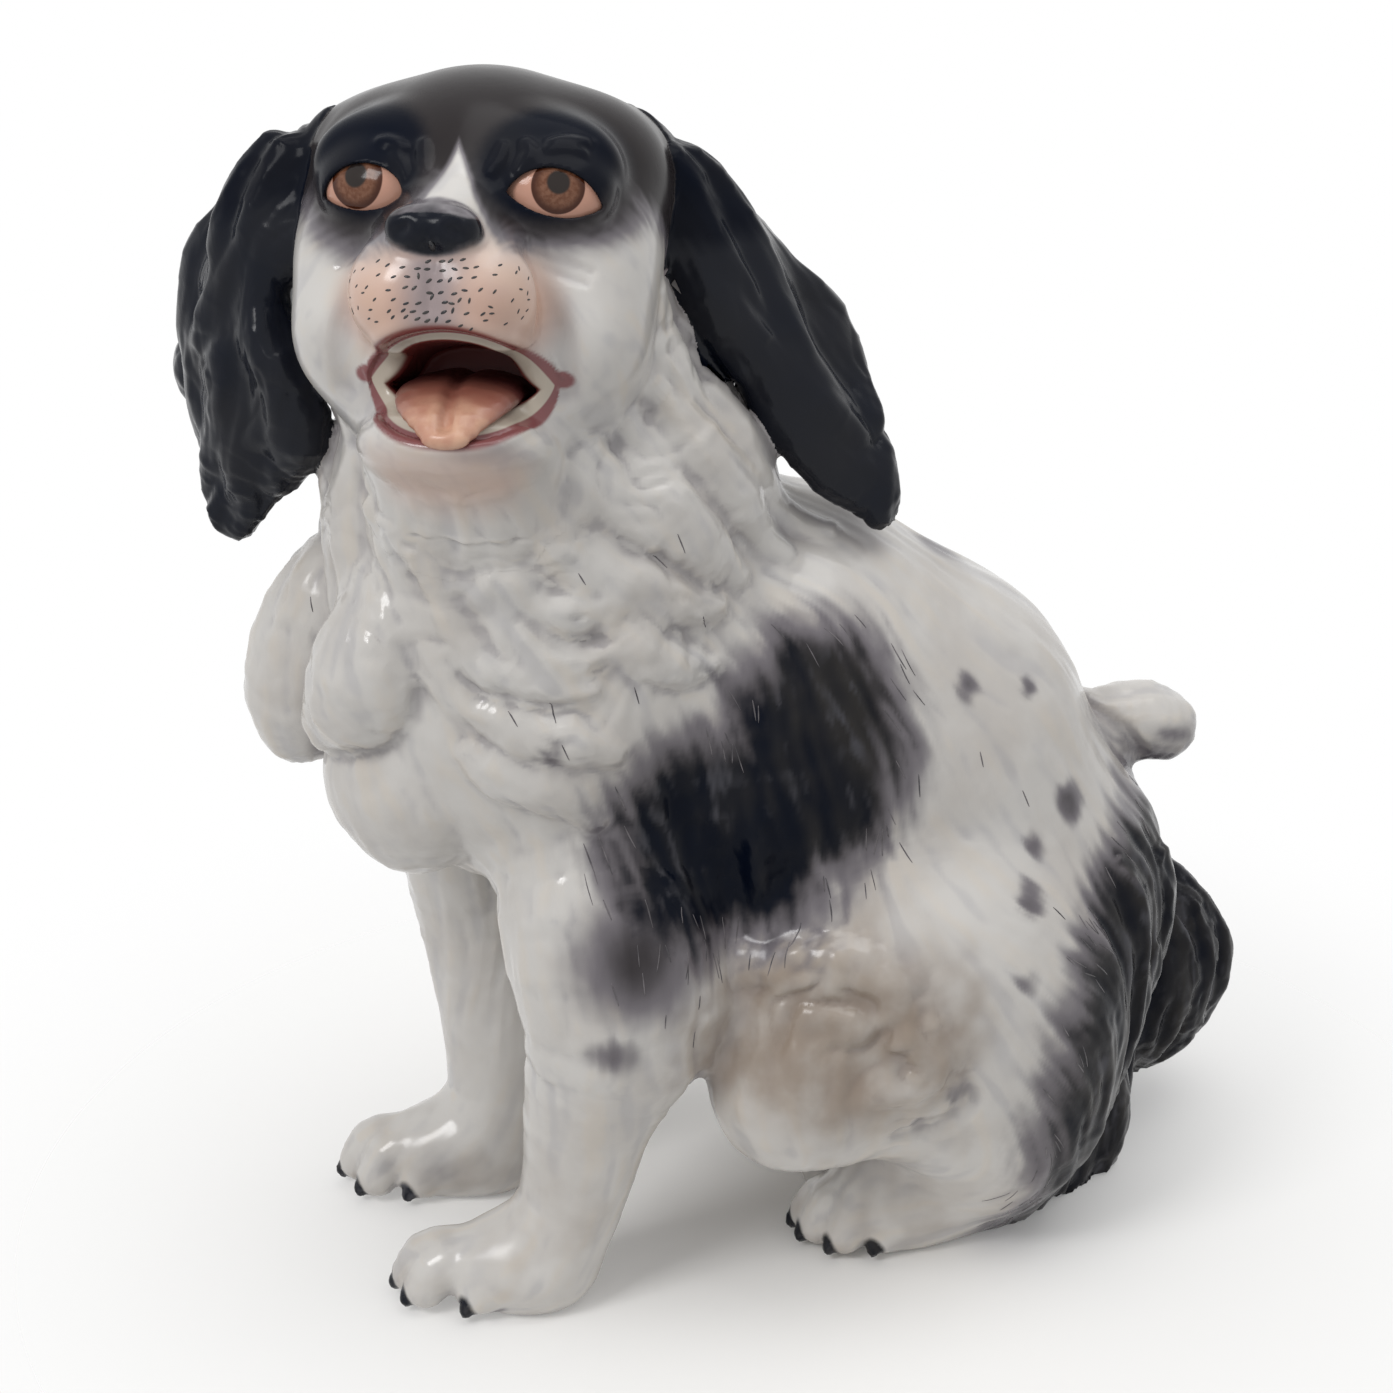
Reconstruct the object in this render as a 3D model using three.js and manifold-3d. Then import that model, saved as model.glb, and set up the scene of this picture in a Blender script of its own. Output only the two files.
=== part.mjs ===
// Seated spaniel figurine in glazed porcelain, cast in hollow and solid pieces that are luted together.
// Millimetres. X is the dog's left, Y its rear and Z up, and the figure stands on Z = 0.
import * as THREE from 'three';
import { mergeVertices } from 'three/addons/utils/BufferGeometryUtils.js';
import Module from 'manifold-3d';

const wasm = await Module();
wasm.setup();

// Casting
const wall = 4.5; // slip-cast wall of the torso and the head
const slipGap = 0.3; // slip joint left between two luted pieces
const ventRadius = 3; // firing vent under the seat
const passageRadius = 11; // air passage from the torso into the head
const torsoSoftness = 11; // how gently the torso's forms run into each other
const headSoftness = 7; // the same for the head's forms

// Stance: the main sizes, from which the other forms take their places
const chestRear = -41; // middle of the chest
const chestHeight = 130;
const shoulderDrop = 26; // middle of the chest down to the top of a foreleg
const neckLength = 85.8; // middle of the chest up to the middle of the skull
const maneDrop = 52.8; // middle of the skull down to the middle of the mane
const napeDrop = 25.8; // middle of the skull down to the fill of the nape
const trunkLength = 91; // middle of the chest back to the middle of the rump
const rumpHeight = 66;
const hipSpread = 34; // middle line out to the middle of a thigh
const elbowHeight = 67;
const wristHeight = 24;
const pasternHeight = 10; // where a foreleg turns into its paw
const rumpRear = chestRear + trunkLength;
const shoulderHeight = chestHeight - shoulderDrop;
const headHeight = chestHeight + neckLength;

// Torso: each form is an ellipsoid with its centre and half sizes
const chest = { at: [-2, chestRear, chestHeight], half: [42, 42, 46] };
const mane = { at: [0, chestRear + 2.5, headHeight - maneDrop], half: [36, 41.5, 36] };
const ribs = {
  at: [0, (chestRear + rumpRear) / 2 - 0.5, (chestHeight + rumpHeight) / 2 + 13],
  half: [41, 45, 49],
};
const loin = { at: [0, rumpRear - 15, rumpHeight + 32], half: [38, 38, 43] };
const rump = { at: [0, rumpRear, rumpHeight], half: [41, 41, 44] };
const seat = { at: [1, rumpRear, 12], half: [22, 37, 34] };
const thigh = { at: [hipSpread, rumpRear - 24, rumpHeight - 6], half: [21, 36, 32] };
const knee = { at: [hipSpread + 2, rumpRear - 51, rumpHeight - 18], half: [16, 17, 18] };
const flank = { at: [hipSpread - 10, rumpRear - 41, rumpHeight + 4], half: [19, 26, 24] };
const hip = { at: [hipSpread - 7, rumpRear - 5, rumpHeight - 24], half: [23, 27, 36] };
const heel = { at: [hipSpread - 15, rumpRear - 6, 13], half: [11, 20, 15] };
const nape = { at: [3, chestRear + 9, headHeight - napeDrop], half: [23, 18, 22] };
const breech = { at: [-19, rumpRear + 36, 33], half: [21, 33, 27] }; // full right haunch

// Head, in its own frame: left, rear, up from the middle of the skull
const headAt = [5, chestRear - 10.2, headHeight];
const headYaw = 64; // turned to the dog's left, in degrees
const headPitch = 17; // raised, in degrees
const skull = { at: [0, 0, 0], half: [31, 33, 28.5] };
const cheek = { at: [18, -11, -19], half: [15.5, 17, 16] };
const temple = { at: [20, 2, 10], half: [12, 16, 12] };
const brow = { at: [15.4, -19.4, 9], half: [11.6, 7.2, 8.6] };
const bridge = { at: [0, -29, -2.5], half: [9.5, 15, 8] };
const muzzle = { at: [-0.6, -31, -13], half: [14.8, 12.5, 10.5] };
const lipPad = { at: [7.6, -33.4, -14], half: [9.4, 11.6, 9.2] };
const jaw = { at: [0.5, -24.5, -39.4], half: [17, 15, 7.5] };
const throat = { at: [0, -3, -28], half: [24, 23, 22] };
const nose = { at: [-0.8, -43.2, -3.6], half: [8.8, 4.4, 4] };
const eye = { at: [16.4, -24.6, 4.7], half: [8.6, 6, 6.8] };
const mouth = { at: [1.2, -35, -29.5], half: [15.5, 18, 9.2] };
const tongue = { fromMouth: [0, 8, -5], half: [11, 14, 4.6] };

// Ears, also in the head's frame: sections down the flap, each with its two half sizes
const earCap = 6; // round end at the root and the tip of an ear
const leftEarAcross = [0.5, 0.82, 0.25]; // direction in which the flap is broad
const leftEar = [
  { at: [17, 4, 17], half: [6, 7] },
  { at: [34, 13.5, 8], half: [10.5, 7.5] },
  { at: [41, 18.5, -2.5], half: [13.5, 8] },
  { at: [50, 24.5, -18], half: [15.5, 8.5] },
  { at: [61.5, 30.5, -36], half: [12.5, 7.5] },
  { at: [67.5, 33, -45.5], half: [7, 6] },
];
const rightEarAcross = [-0.69, 0.69, 0.21];
const rightEar = [
  { at: [-19, 0, 16], half: [6, 7] },
  { at: [-37.5, 0, 7.5], half: [9.5, 7.5] },
  { at: [-42.5, 2.5, -1], half: [13, 8] },
  { at: [-46.5, 8.5, -17], half: [17, 9] },
  { at: [-47, 15, -34.5], half: [21, 9.5] },
  { at: [-48, 18, -45], half: [17, 8.5] },
  { at: [-51, 20, -53], half: [8, 6] },
];

// Tail, legs and chest locks: sections down the piece
const tailCap = 8;
const tail = [
  { at: [0, rumpRear + 11, rumpHeight + 36], half: [7, 7] },
  { at: [0, rumpRear + 20, rumpHeight + 34.5], half: [6.2, 6] },
  { at: [0, rumpRear + 29, rumpHeight + 34.6], half: [7.6, 7.2] },
  { at: [0, rumpRear + 37, rumpHeight + 34], half: [9.2, 8.4] },
  { at: [0, rumpRear + 41.5, rumpHeight + 32.5], half: [8.4, 7.8] },
];
const legCap = 10;
const upperArmHeight = (shoulderHeight + elbowHeight) / 2 + 0.5;
const foreArmHeight = (elbowHeight + wristHeight) / 2 + 0.5;
const leftForeleg = [
  { at: [21, chestRear + 5, shoulderHeight], half: [14, 18] },
  { at: [27, chestRear + 4, upperArmHeight], half: [17, 21] },
  { at: [30.5, chestRear + 6.5, elbowHeight], half: [16, 20] },
  { at: [26.5, chestRear + 1, foreArmHeight], half: [13, 13.8] },
  { at: [24, chestRear - 2.5, wristHeight], half: [10.8, 10.6] },
  { at: [23, chestRear - 8.5, pasternHeight], half: [10.6, 11] },
];
const rightForeleg = [
  { at: [-20, chestRear - 1, shoulderHeight], half: [14, 18] },
  { at: [-26, chestRear - 5, upperArmHeight], half: [16, 20] },
  { at: [-29, chestRear - 4.5, elbowHeight], half: [14, 17] },
  { at: [-26.5, chestRear - 4, foreArmHeight], half: [12, 13.5] },
  { at: [-25, chestRear - 4, wristHeight], half: [11, 12] },
  { at: [-24, chestRear - 7, pasternHeight], half: [11, 12.5] },
];
const lockCap = 7;
const rightLock = [
  { at: [-13, chestRear - 31, chestHeight + 22], half: [9, 8] },
  { at: [-16, chestRear - 40, chestHeight + 8], half: [12, 10.5] },
  { at: [-17, chestRear - 43.5, chestHeight - 7], half: [13, 12] },
  { at: [-17, chestRear - 45, chestHeight - 16], half: [10, 9] },
];
const leftLock = [
  { at: [13, chestRear - 28, chestHeight + 28], half: [8, 8] },
  { at: [16, chestRear - 32.5, chestHeight + 17], half: [11.5, 10.5] },
  { at: [14.5, chestRear - 37.5, chestHeight + 5], half: [12.5, 11.5] },
  { at: [8, chestRear - 42, chestHeight - 4.5], half: [7.5, 7] },
];
const lowerLock = [
  { at: [5, chestRear - 19, chestHeight - 6], half: [14, 13] },
  { at: [6, chestRear - 27, chestHeight - 16], half: [20, 17.5] },
  { at: [7, chestRear - 28, chestHeight - 23.5], half: [17, 14.5] },
];

// Curls of the ruff and falls of the neck, root to tip: places from the chest's middle, settled on the body
const curlCap = 3;
const curlLift = 0.1; // share of a curl's thickness by which its middle stands off the body
const ruffCurls = [
  { half: [4.6, 4.2], from: [[29, -25, 30], [31, -24, 21], [33.5, -22, 15.5], [37, -17, 11.5], [41, -2, 8]] },
  { half: [3.8, 3.6], from: [[32, -21, 31], [36, -15.5, 20], [40, -5, 13], [40, 1, 14.5]] },
  { half: [4.2, 3.6], from: [[33, -19, 37], [36.5, -13, 26], [39, 0.5, 23], [39, 6, 26]] },
  { half: [4.6, 3.6], from: [[35, -11, 40], [38.5, 0, 29.5], [37, 17, 20], [34, 26, 18]] },
  { half: [4.4, 3.2], from: [[40, 3, 20], [40, 15, 10], [38.5, 23, 8]] },
  { half: [3.6, 2.6], from: [[24, -30, 35], [27, -29, 20], [33, -23, 5], [37, -16, 1]] },
  { half: [4.4, 3], from: [[35, -19, 4], [41, -5, -2], [43, 3, -6]] },
  { half: [4.6, 3], from: [[32, -21, -4], [40, -8, -13], [42, -1, -20]] },
  { half: [5, 3.2], from: [[36, 11, 46], [37, 17, 38], [33, 32, 23]] },
  { half: [5, 3], from: [[30, 19, 54], [31, 35, 36], [28, 43, 27]] },
  { half: [4.6, 2.8], from: [[22, 27, 56], [23, 44, 36], [20, 53, 28]] },
  { half: [4.4, 2.6], from: [[33, -3, 52], [37, 10, 34]] },
];
const neckFalls = [
  { half: [4, 2.6], from: [[-2, -44, 62], [-1, -45, 40], [-3, -44, 28]] },
  { half: [4, 2.6], from: [[-8, -41, 64], [-10, -42, 38], [-12, -41, 24]] },
  { half: [4, 2.6], from: [[-16, -36, 62], [-18, -37, 36], [-20, -34, 22]] },
  { half: [4, 2.6], from: [[8, -43, 50], [11, -41, 32], [13, -39, 24]] },
  { half: [4, 2.6], from: [[-25, -28, 56], [-28, -27, 32], [-30, -23, 20]] },
];

// Paws: the pad, the height of the knuckles, and the tips of the toes, left and rear of the pad's middle
const leftForePaw = {
  at: [20.5, chestRear - 14, 8.5], half: [11, 15, 10], knuckle: 10.6,
  tips: [[-12, -15], [-8, -23.6], [-1, -22.8], [7, -12.4]],
};
const rightForePaw = {
  at: [-26, chestRear - 16, 9], half: [11, 15, 10.5], knuckle: 11.4,
  tips: [[-12, -13], [-7.6, -22.6], [1.6, -20.8], [7.2, -11.6]],
};
const leftHindPaw = {
  at: [hipSpread - 10.5, rumpRear - 22, 12], half: [12, 17, 14], knuckle: 12,
  tips: [[-8, -22.4], [-2.3, -22.6], [4.5, -18.8], [8.3, -10.2]],
};
const rightHindPaw = {
  at: [12 - hipSpread, rumpRear - 16, 10], half: [11, 14, 11], knuckle: 11,
  tips: [[7, -15], [2, -18.5], [-5, -16.5], [-10, -8]],
};
const toeCap = 4.4;
const toeTip = { height: 5.3, half: [4.4, 4.5] };
const toeBend = { fromTip: 8.2, share: 0.88, half: [5.1, 5.5] };
const toeRoot = { share: 0.3, half: [4.9, 5.4] };
const outerToeShare = 0.8; // how much lower the knuckles of the outer toes are

const white = '#d8d5cf';
const blueBlack = '#1d222d';
const greyBlack = '#6f6d6f';
const dustyWhite = '#cfc6bb';
const tonguePink = '#c58f77';
const glazeRoughness = 0.2;

// Distance from a point to an ellipsoid, close to true near its surface
function ellipsoid({ at, half }, place) {
  const toLocal = place.clone().invert();
  const point = new THREE.Vector3();
  return (where) => {
    point.copy(where).applyMatrix4(toLocal);
    const scaled = point.toArray().map((value, axis) => (value - at[axis]) / half[axis]);
    const reach = Math.hypot(...scaled);
    const slope = Math.hypot(...scaled.map((value, axis) => value / half[axis]));
    return slope === 0 ? -Math.min(...half) : (reach * (reach - 1)) / slope;
  };
}

// One soft body out of several forms
function softUnion(distances, softness) {
  return (where) => distances.reduce((nearest, distance) => {
    const next = distance(where);
    const share = Math.max(softness - Math.abs(nearest - next), 0) / softness;
    return Math.min(nearest, next) - (share * share * softness) / 4;
  }, Infinity);
}

// A ball drawn in from outside until it lies on the body, grown or shrunk by an offset
function wrap(distance, centre, detail, offset) {
  const farOut = 260;
  const closeEnough = 0.002;
  const stride = 0.6;
  const skin = bare(new THREE.IcosahedronGeometry(1, detail));
  const places = skin.attributes.position;
  const direction = new THREE.Vector3();
  const where = new THREE.Vector3();
  for (let i = 0; i < places.count; i += 1) {
    direction.fromBufferAttribute(places, i).normalize();
    let reach = farOut;
    let left = Infinity;
    while (left > closeEnough && reach > 0) {
      where.copy(direction).multiplyScalar(reach).add(centre);
      left = distance(where) - offset;
      reach -= left * stride;
    }
    places.setXYZ(i, where.x, where.y, where.z);
  }
  return skin;
}

// Only positions, with shared corners
function bare(geometry) {
  geometry.deleteAttribute('normal');
  geometry.deleteAttribute('uv');
  return mergeVertices(geometry);
}

function solid(geometry) {
  const shape = bare(geometry);
  const vertProperties = new Float32Array(shape.attributes.position.array);
  const triVerts = new Uint32Array(shape.index.array);
  return new wasm.Manifold(new wasm.Mesh({ numProp: 3, vertProperties, triVerts }));
}

function ball({ at, half }, place, around = 12, rows = 9, grow = 0) {
  const shape = new THREE.SphereGeometry(1, around, rows);
  shape.scale(half[0] + grow, half[1] + grow, half[2] + grow).translate(...at).applyMatrix4(place);
  return solid(shape);
}

// A round-ended limb through its sections; across is the direction of each section's first half size
function limb(sections, cap, { across = [1, 0, 0], grow = 0, place = upright, around = 14, rows = 14 } = {}) {
  const spine = new THREE.CatmullRomCurve3(sections.map(({ at }) => new THREE.Vector3(...at)));
  const sizes = new THREE.SplineCurve(sections.map(({ half }) => new THREE.Vector2(...half)));
  const length = spine.getLength();
  const end = cap + grow;
  const shape = new THREE.SphereGeometry(1, around, rows);
  const places = shape.attributes.position;
  const reference = new THREE.Vector3(...across);
  for (let i = 0; i < places.count; i += 1) {
    const [side, height, depth] = [places.getX(i), places.getY(i), places.getZ(i)];
    const along = ((1 - height) / 2) * (length + 2 * end) - end;
    const share = THREE.MathUtils.clamp(along / length, 0, 1);
    const beyond = along - share * length;
    const rounding = Math.sqrt(Math.max(0, 1 - (beyond / end) ** 2));
    const tangent = spine.getTangent(share);
    const first = reference.clone().addScaledVector(tangent, -reference.dot(tangent)).normalize();
    const second = tangent.clone().cross(first);
    const size = sizes.getPoint(share);
    const turn = Math.hypot(side, depth) || 1;
    const where = spine.getPoint(share).addScaledVector(tangent, beyond);
    where.addScaledVector(first, (side / turn) * (size.x + grow) * rounding);
    where.addScaledVector(second, (depth / turn) * (size.y + grow) * rounding);
    places.setXYZ(i, where.x, where.y, where.z);
  }
  return solid(shape.applyMatrix4(place));
}

function mirrored(form, side) {
  const [x, y, z] = form.at;
  return { at: [x * side, y, z], half: form.half };
}

// Everything below a height, for cutting pieces flat
function below(height) {
  const size = 400;
  return solid(new THREE.BoxGeometry(size, size, size).translate(0, 0, height - size / 2));
}

function rod(from, to, radius) {
  const span = new THREE.Vector3().subVectors(to, from);
  const shape = new THREE.CylinderGeometry(radius, radius, span.length(), 24);
  const upwards = new THREE.Vector3(0, 1, 0);
  const turn = new THREE.Quaternion().setFromUnitVectors(upwards, span.clone().normalize());
  shape.applyQuaternion(turn).translate(...from.clone().addScaledVector(span, 0.5));
  return solid(shape);
}

// The forms as distances, ready to be wrapped
const upright = new THREE.Matrix4();
const headTurn = new THREE.Euler(
  THREE.MathUtils.degToRad(-headPitch), 0, THREE.MathUtils.degToRad(headYaw), 'ZXY',
);
const headPlace = new THREE.Matrix4().makeRotationFromEuler(headTurn).setPosition(...headAt);
const onHead = (form) => ellipsoid(form, headPlace);
const onBody = (form) => ellipsoid(form, upright);
const pair = (form) => [mirrored(form, 1), mirrored(form, -1)];

const trunk = [chest, mane, ribs, loin, rump, seat, ...pair(thigh)];
const hindForms = [knee, flank, hip, heel].flatMap(pair);
const torsoBody = softUnion([...trunk, ...hindForms, nape].map(onBody), torsoSoftness);
const torsoHollowBody = softUnion(trunk.map(onBody), torsoSoftness);
const headPairs = [cheek, temple, lipPad, brow].flatMap(pair);
const headForms = [skull, throat, bridge, muzzle, jaw, ...headPairs];
const headBody = softUnion(headForms.map(onHead), headSoftness);

const torsoMiddle = new THREE.Vector3(...ribs.at).lerp(new THREE.Vector3(...loin.at), 0.5);
const headMiddle = new THREE.Vector3(...headAt);
const torsoDetail = 10;
const headDetail = 11;
const hollowDetail = 5;
const ground = below(0);
const torsoGrown = solid(wrap(torsoBody, torsoMiddle, torsoDetail, slipGap));
const clearOfTorso = dressed(torsoGrown, slipGap);
const headGrown = solid(wrap(headBody, headMiddle, headDetail, slipGap));
const passage = rod(torsoMiddle, headMiddle, passageRadius);

// The way out of a body at a place near its surface
function outward(distance, where) {
  const step = 0.5;
  const slope = [0, 1, 2].map((axis) => {
    const ahead = where.clone().setComponent(axis, where.getComponent(axis) + step);
    const behind = where.clone().setComponent(axis, where.getComponent(axis) - step);
    return distance(ahead) - distance(behind);
  });
  return new THREE.Vector3(...slope).normalize();
}

// A lock that lies on the torso, thick in the middle and thin at both ends
function lockOnTorso({ half, from }, side, grow) {
  const slimming = [0.55, 1, 0.45];
  const swell = new THREE.SplineCurve(slimming.map((share, k) => new THREE.Vector2(k / 2, share)));
  let way = new THREE.Vector3();
  const sections = from.map((offset, k) => {
    const where = new THREE.Vector3(...chest.at).add(new THREE.Vector3(...offset));
    where.setX(where.x * side);
    for (let turn = 0; turn < 8; turn += 1) {
      way = outward(torsoBody, where);
      where.addScaledVector(way, -0.8 * torsoBody(where));
    }
    const share = swell.getPoint(k / (from.length - 1)).y;
    where.addScaledVector(way, curlLift * half[1]);
    return { at: where.toArray(), half: half.map((size) => size * share) };
  });
  const [start, end] = [sections[0].at, sections.at(-1).at].map((at) => new THREE.Vector3(...at));
  const across = way.clone().cross(end.sub(start)).toArray();
  return limb(sections, curlCap, { across, grow, around: 6, rows: 6 });
}

// The torso's skin with the curls on both sides and the falls in front
function dressed(skin, grow) {
  const curls = [1, -1].flatMap((side) => ruffCurls.map((curl) => lockOnTorso(curl, side, grow)));
  const falls = neckFalls.map((fall) => lockOnTorso(fall, 1, grow));
  return [...curls, ...falls].reduce((body, lock) => body.add(lock), skin);
}

function makeTorso() {
  const bareSkin = solid(wrap(torsoBody, torsoMiddle, torsoDetail, 0));
  const skin = dressed(bareSkin, 0).add(ball(breech, upright, 18, 12));
  const hollow = solid(wrap(torsoHollowBody, torsoMiddle, hollowDetail, -wall)).subtract(below(wall));
  const ventFoot = new THREE.Vector3(seat.at[0], seat.at[1], -wall);
  const vent = rod(ventFoot, ventFoot.clone().setZ(2 * wall), ventRadius);
  return skin.subtract(ground).subtract(hollow).subtract(passage).subtract(vent);
}

function makeHead() {
  const hollow = { at: skull.at, half: skull.half.map((size) => size - wall) };
  let head = solid(wrap(headBody, headMiddle, headDetail, 0)).add(ball(nose, headPlace));
  pair(eye).forEach((form) => {
    head = head.add(ball(form, headPlace));
  });
  head = head.subtract(ball(mouth, headPlace, 24, 16)).subtract(ball(hollow, headPlace, 16, 12));
  return head.subtract(passage).subtract(clearOfTorso);
}

// The tongue lies in the mouth, a slip joint clear of its walls
function makeTongue() {
  const at = mouth.at.map((value, axis) => value + tongue.fromMouth[axis]);
  const hollow = ball(mouth, headPlace, 24, 16, -slipGap);
  return ball({ at, half: tongue.half }, headPlace).intersect(hollow);
}

function makeEar(sections, across) {
  const flap = limb(sections, earCap, { across, place: headPlace, rows: 16 });
  return flap.subtract(headGrown).subtract(clearOfTorso);
}

// A toe from its knuckle down to the tip
function toe({ at: [x, y], knuckle }, [left, rear], isOuter) {
  const reach = Math.hypot(left, rear);
  const rise = knuckle * (isOuter ? outerToeShare : 1);
  const along = (share, height) => [x + left * share, y + rear * share, height];
  const sections = [
    { at: along(toeRoot.share, rise), half: toeRoot.half },
    { at: along(1 - toeBend.fromTip / reach, rise * toeBend.share), half: toeBend.half },
    { at: along(1 - toeCap / reach, toeTip.height), half: toeTip.half },
  ];
  return limb(sections, toeCap, { across: [-rear, left, 0], around: 8, rows: 7 });
}

function paw(foot) {
  const isOuter = (k) => k === 0 || k === foot.tips.length - 1;
  return foot.tips.reduce(
    (shape, tip, k) => shape.add(toe(foot, tip, isOuter(k))), ball(foot, upright, 12, 9),
  );
}

function makeForeleg(sections, foot) {
  return limb(sections, legCap).add(paw(foot)).subtract(clearOfTorso).subtract(ground);
}

function makeHindPaw(foot) {
  return paw(foot).subtract(clearOfTorso).subtract(ground);
}

function makeTail() {
  return limb(tail, tailCap).subtract(clearOfTorso);
}

// A chest lock gives way to the legs and to the locks that lie over it
function makeLock(sections, covers) {
  const upperLegs = [leftForeleg, rightForeleg].map((leg) => limb(leg, legCap, { grow: slipGap }));
  const over = covers.map((lock) => limb(lock, lockCap, { grow: slipGap }));
  return [clearOfTorso, headGrown, ...upperLegs, ...over].reduce(
    (lock, cutter) => lock.subtract(cutter), limb(sections, lockCap),
  );
}

function piece(name, shape, color) {
  const { vertProperties, triVerts } = shape.getMesh();
  const geometry = new THREE.BufferGeometry();
  geometry.setAttribute('position', new THREE.BufferAttribute(vertProperties, 3));
  geometry.setIndex(new THREE.BufferAttribute(triVerts, 1));
  geometry.computeVertexNormals();
  const mesh = new THREE.Mesh(
    geometry, new THREE.MeshStandardMaterial({ color, roughness: glazeRoughness, metalness: 0 }),
  );
  mesh.name = name;
  return mesh;
}

const figure = new THREE.Group();
figure.name = 'porcelain_dog';
figure.add(
  piece('torso', makeTorso(), white),
  piece('head', makeHead(), greyBlack),
  piece('tongue', makeTongue(), tonguePink),
  piece('left_ear', makeEar(leftEar, leftEarAcross), blueBlack),
  piece('right_ear', makeEar(rightEar, rightEarAcross), blueBlack),
  piece('left_foreleg', makeForeleg(leftForeleg, leftForePaw), white),
  piece('right_foreleg', makeForeleg(rightForeleg, rightForePaw), white),
  piece('left_hind_paw', makeHindPaw(leftHindPaw), dustyWhite),
  piece('right_hind_paw', makeHindPaw(rightHindPaw), dustyWhite),
  piece('tail', makeTail(), white),
  piece('left_chest_lock', makeLock(leftLock, []), white),
  piece('right_chest_lock', makeLock(rightLock, [leftLock]), white),
  piece('lower_chest_lock', makeLock(lowerLock, [leftLock, rightLock]), white),
);

// The origin is under the middle of the figure, on the surface that it stands on
const extent = new THREE.Box3().setFromObject(figure);
const footprint = extent.getCenter(new THREE.Vector3()).setZ(extent.min.z);
figure.position.copy(footprint).negate();

export default figure;
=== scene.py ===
# Seated porcelain spaniel: the modelled, painted and glazed skin over the cast pieces.
# Sizes are in mm and drawn from the dog's shoulders: x to its left, y to its rear, z up.
import math

import bpy
import numpy as np
import openvdb
from mathutils import Matrix
from mathutils.bvhtree import BVHTree


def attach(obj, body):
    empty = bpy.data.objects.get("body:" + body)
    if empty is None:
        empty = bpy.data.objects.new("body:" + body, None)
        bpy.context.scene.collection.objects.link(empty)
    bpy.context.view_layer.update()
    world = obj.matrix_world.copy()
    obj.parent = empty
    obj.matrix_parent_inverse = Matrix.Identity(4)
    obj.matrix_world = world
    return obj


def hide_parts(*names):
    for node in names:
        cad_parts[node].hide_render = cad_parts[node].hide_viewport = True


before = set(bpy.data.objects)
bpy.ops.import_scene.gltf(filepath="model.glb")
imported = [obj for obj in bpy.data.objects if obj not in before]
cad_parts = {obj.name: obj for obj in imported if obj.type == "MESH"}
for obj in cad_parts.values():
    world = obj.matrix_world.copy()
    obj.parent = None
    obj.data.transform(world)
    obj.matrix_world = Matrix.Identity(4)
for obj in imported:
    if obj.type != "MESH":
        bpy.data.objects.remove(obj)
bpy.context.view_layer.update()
mm = 0.001
# From the shoulders to the frame's origin, under the middle of the box
dogShift = np.array([0.0, -8.211, 0.0])
chance = np.random.default_rng(11)

sculpt = dict(
    bodyStep=0.75,  # grid that the body is modelled in
    headStep=0.45,  # finer for the face and the ears
    traceStep=1.6,  # coarse body on which locks of hair are laid out
    farOut=40.0,
    overlap=3.0,  # head and body skins share this much around the neck
)


def turnAbout(axis, degrees):
    return np.array(Matrix.Rotation(math.radians(degrees), 3, axis))


headAt = np.array([5.0, -51.2, 215.8])
headTurn = turnAbout("Z", 64) @ turnAbout("X", -17)  # turned to the dog's left and raised
upright = np.eye(3)


def fromHead(points):
    return np.asarray(points, float) @ headTurn.T + headAt


def toHead(points):
    return (points - headAt) @ headTurn


def unit(v):
    v = np.asarray(v, float)
    return v / np.maximum(np.linalg.norm(v, axis=-1, keepdims=True), 1e-9)


def ease(low, high, value):
    t = np.clip((value - low) / (high - low), 0, 1)
    return t * t * (3 - 2 * t)


# Clay: forms are ovals and limbs, pressed softly into a grid of distances

def ovalReach(x, y, z, half):
    near = np.sqrt((x / half[0]) ** 2 + (y / half[1]) ** 2 + (z / half[2]) ** 2) + 1e-4
    slope = np.sqrt((x / half[0] ** 2) ** 2 + (y / half[1] ** 2) ** 2 + (z / half[2] ** 2) ** 2) + 1e-5
    return near * (near - 1) / slope


def ball(node, at, half, soft=11.0, turn=upright, cut=False):
    at, half = np.array(at, float), np.array(half, float)
    reach = np.sqrt((turn ** 2) @ half ** 2)
    return dict(node=node, at=at, half=half, soft=soft, turn=turn, cut=cut, low=at - reach, high=at + reach)


def onHead(at, half, soft=7.0, turn=upright, node="head", cut=False):
    return ball(node, fromHead(at), half, soft, headTurn @ turn, cut)


def limb(node, path, half, across, soft=3.0, cut=False):
    path, half = np.array(path, float), np.array(half, float)
    across = np.broadcast_to(np.array(across, float), path.shape)
    reach = half.max(axis=1, keepdims=True)
    return dict(node=node, path=path, half=half, across=across, soft=soft, cut=cut,
                low=(path - reach).min(axis=0), high=(path + reach).max(axis=0))


def smoothPath(points, count):
    # A curve through the given rows, evenly resampled
    rows = np.array(points, float)
    rows = np.vstack([2 * rows[0] - rows[1], rows, 2 * rows[-1] - rows[-2]])
    at = np.linspace(0, len(points) - 1 - 1e-6, count)
    k = at.astype(int)
    t = (at - k)[:, None]
    a, b, c, d = rows[k], rows[k + 1], rows[k + 2], rows[k + 3]
    return 0.5 * (2 * b + (c - a) * t + (2 * a - 5 * b + 4 * c - d) * t ** 2 + (3 * b - 3 * c + d - a) * t ** 3)


def ballDistance(form, x, y, z):
    dx, dy, dz = x - form["at"][0], y - form["at"][1], z - form["at"][2]
    t = form["turn"]
    return ovalReach(*(t[0, k] * dx + t[1, k] * dy + t[2, k] * dz for k in range(3)), form["half"])


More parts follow.
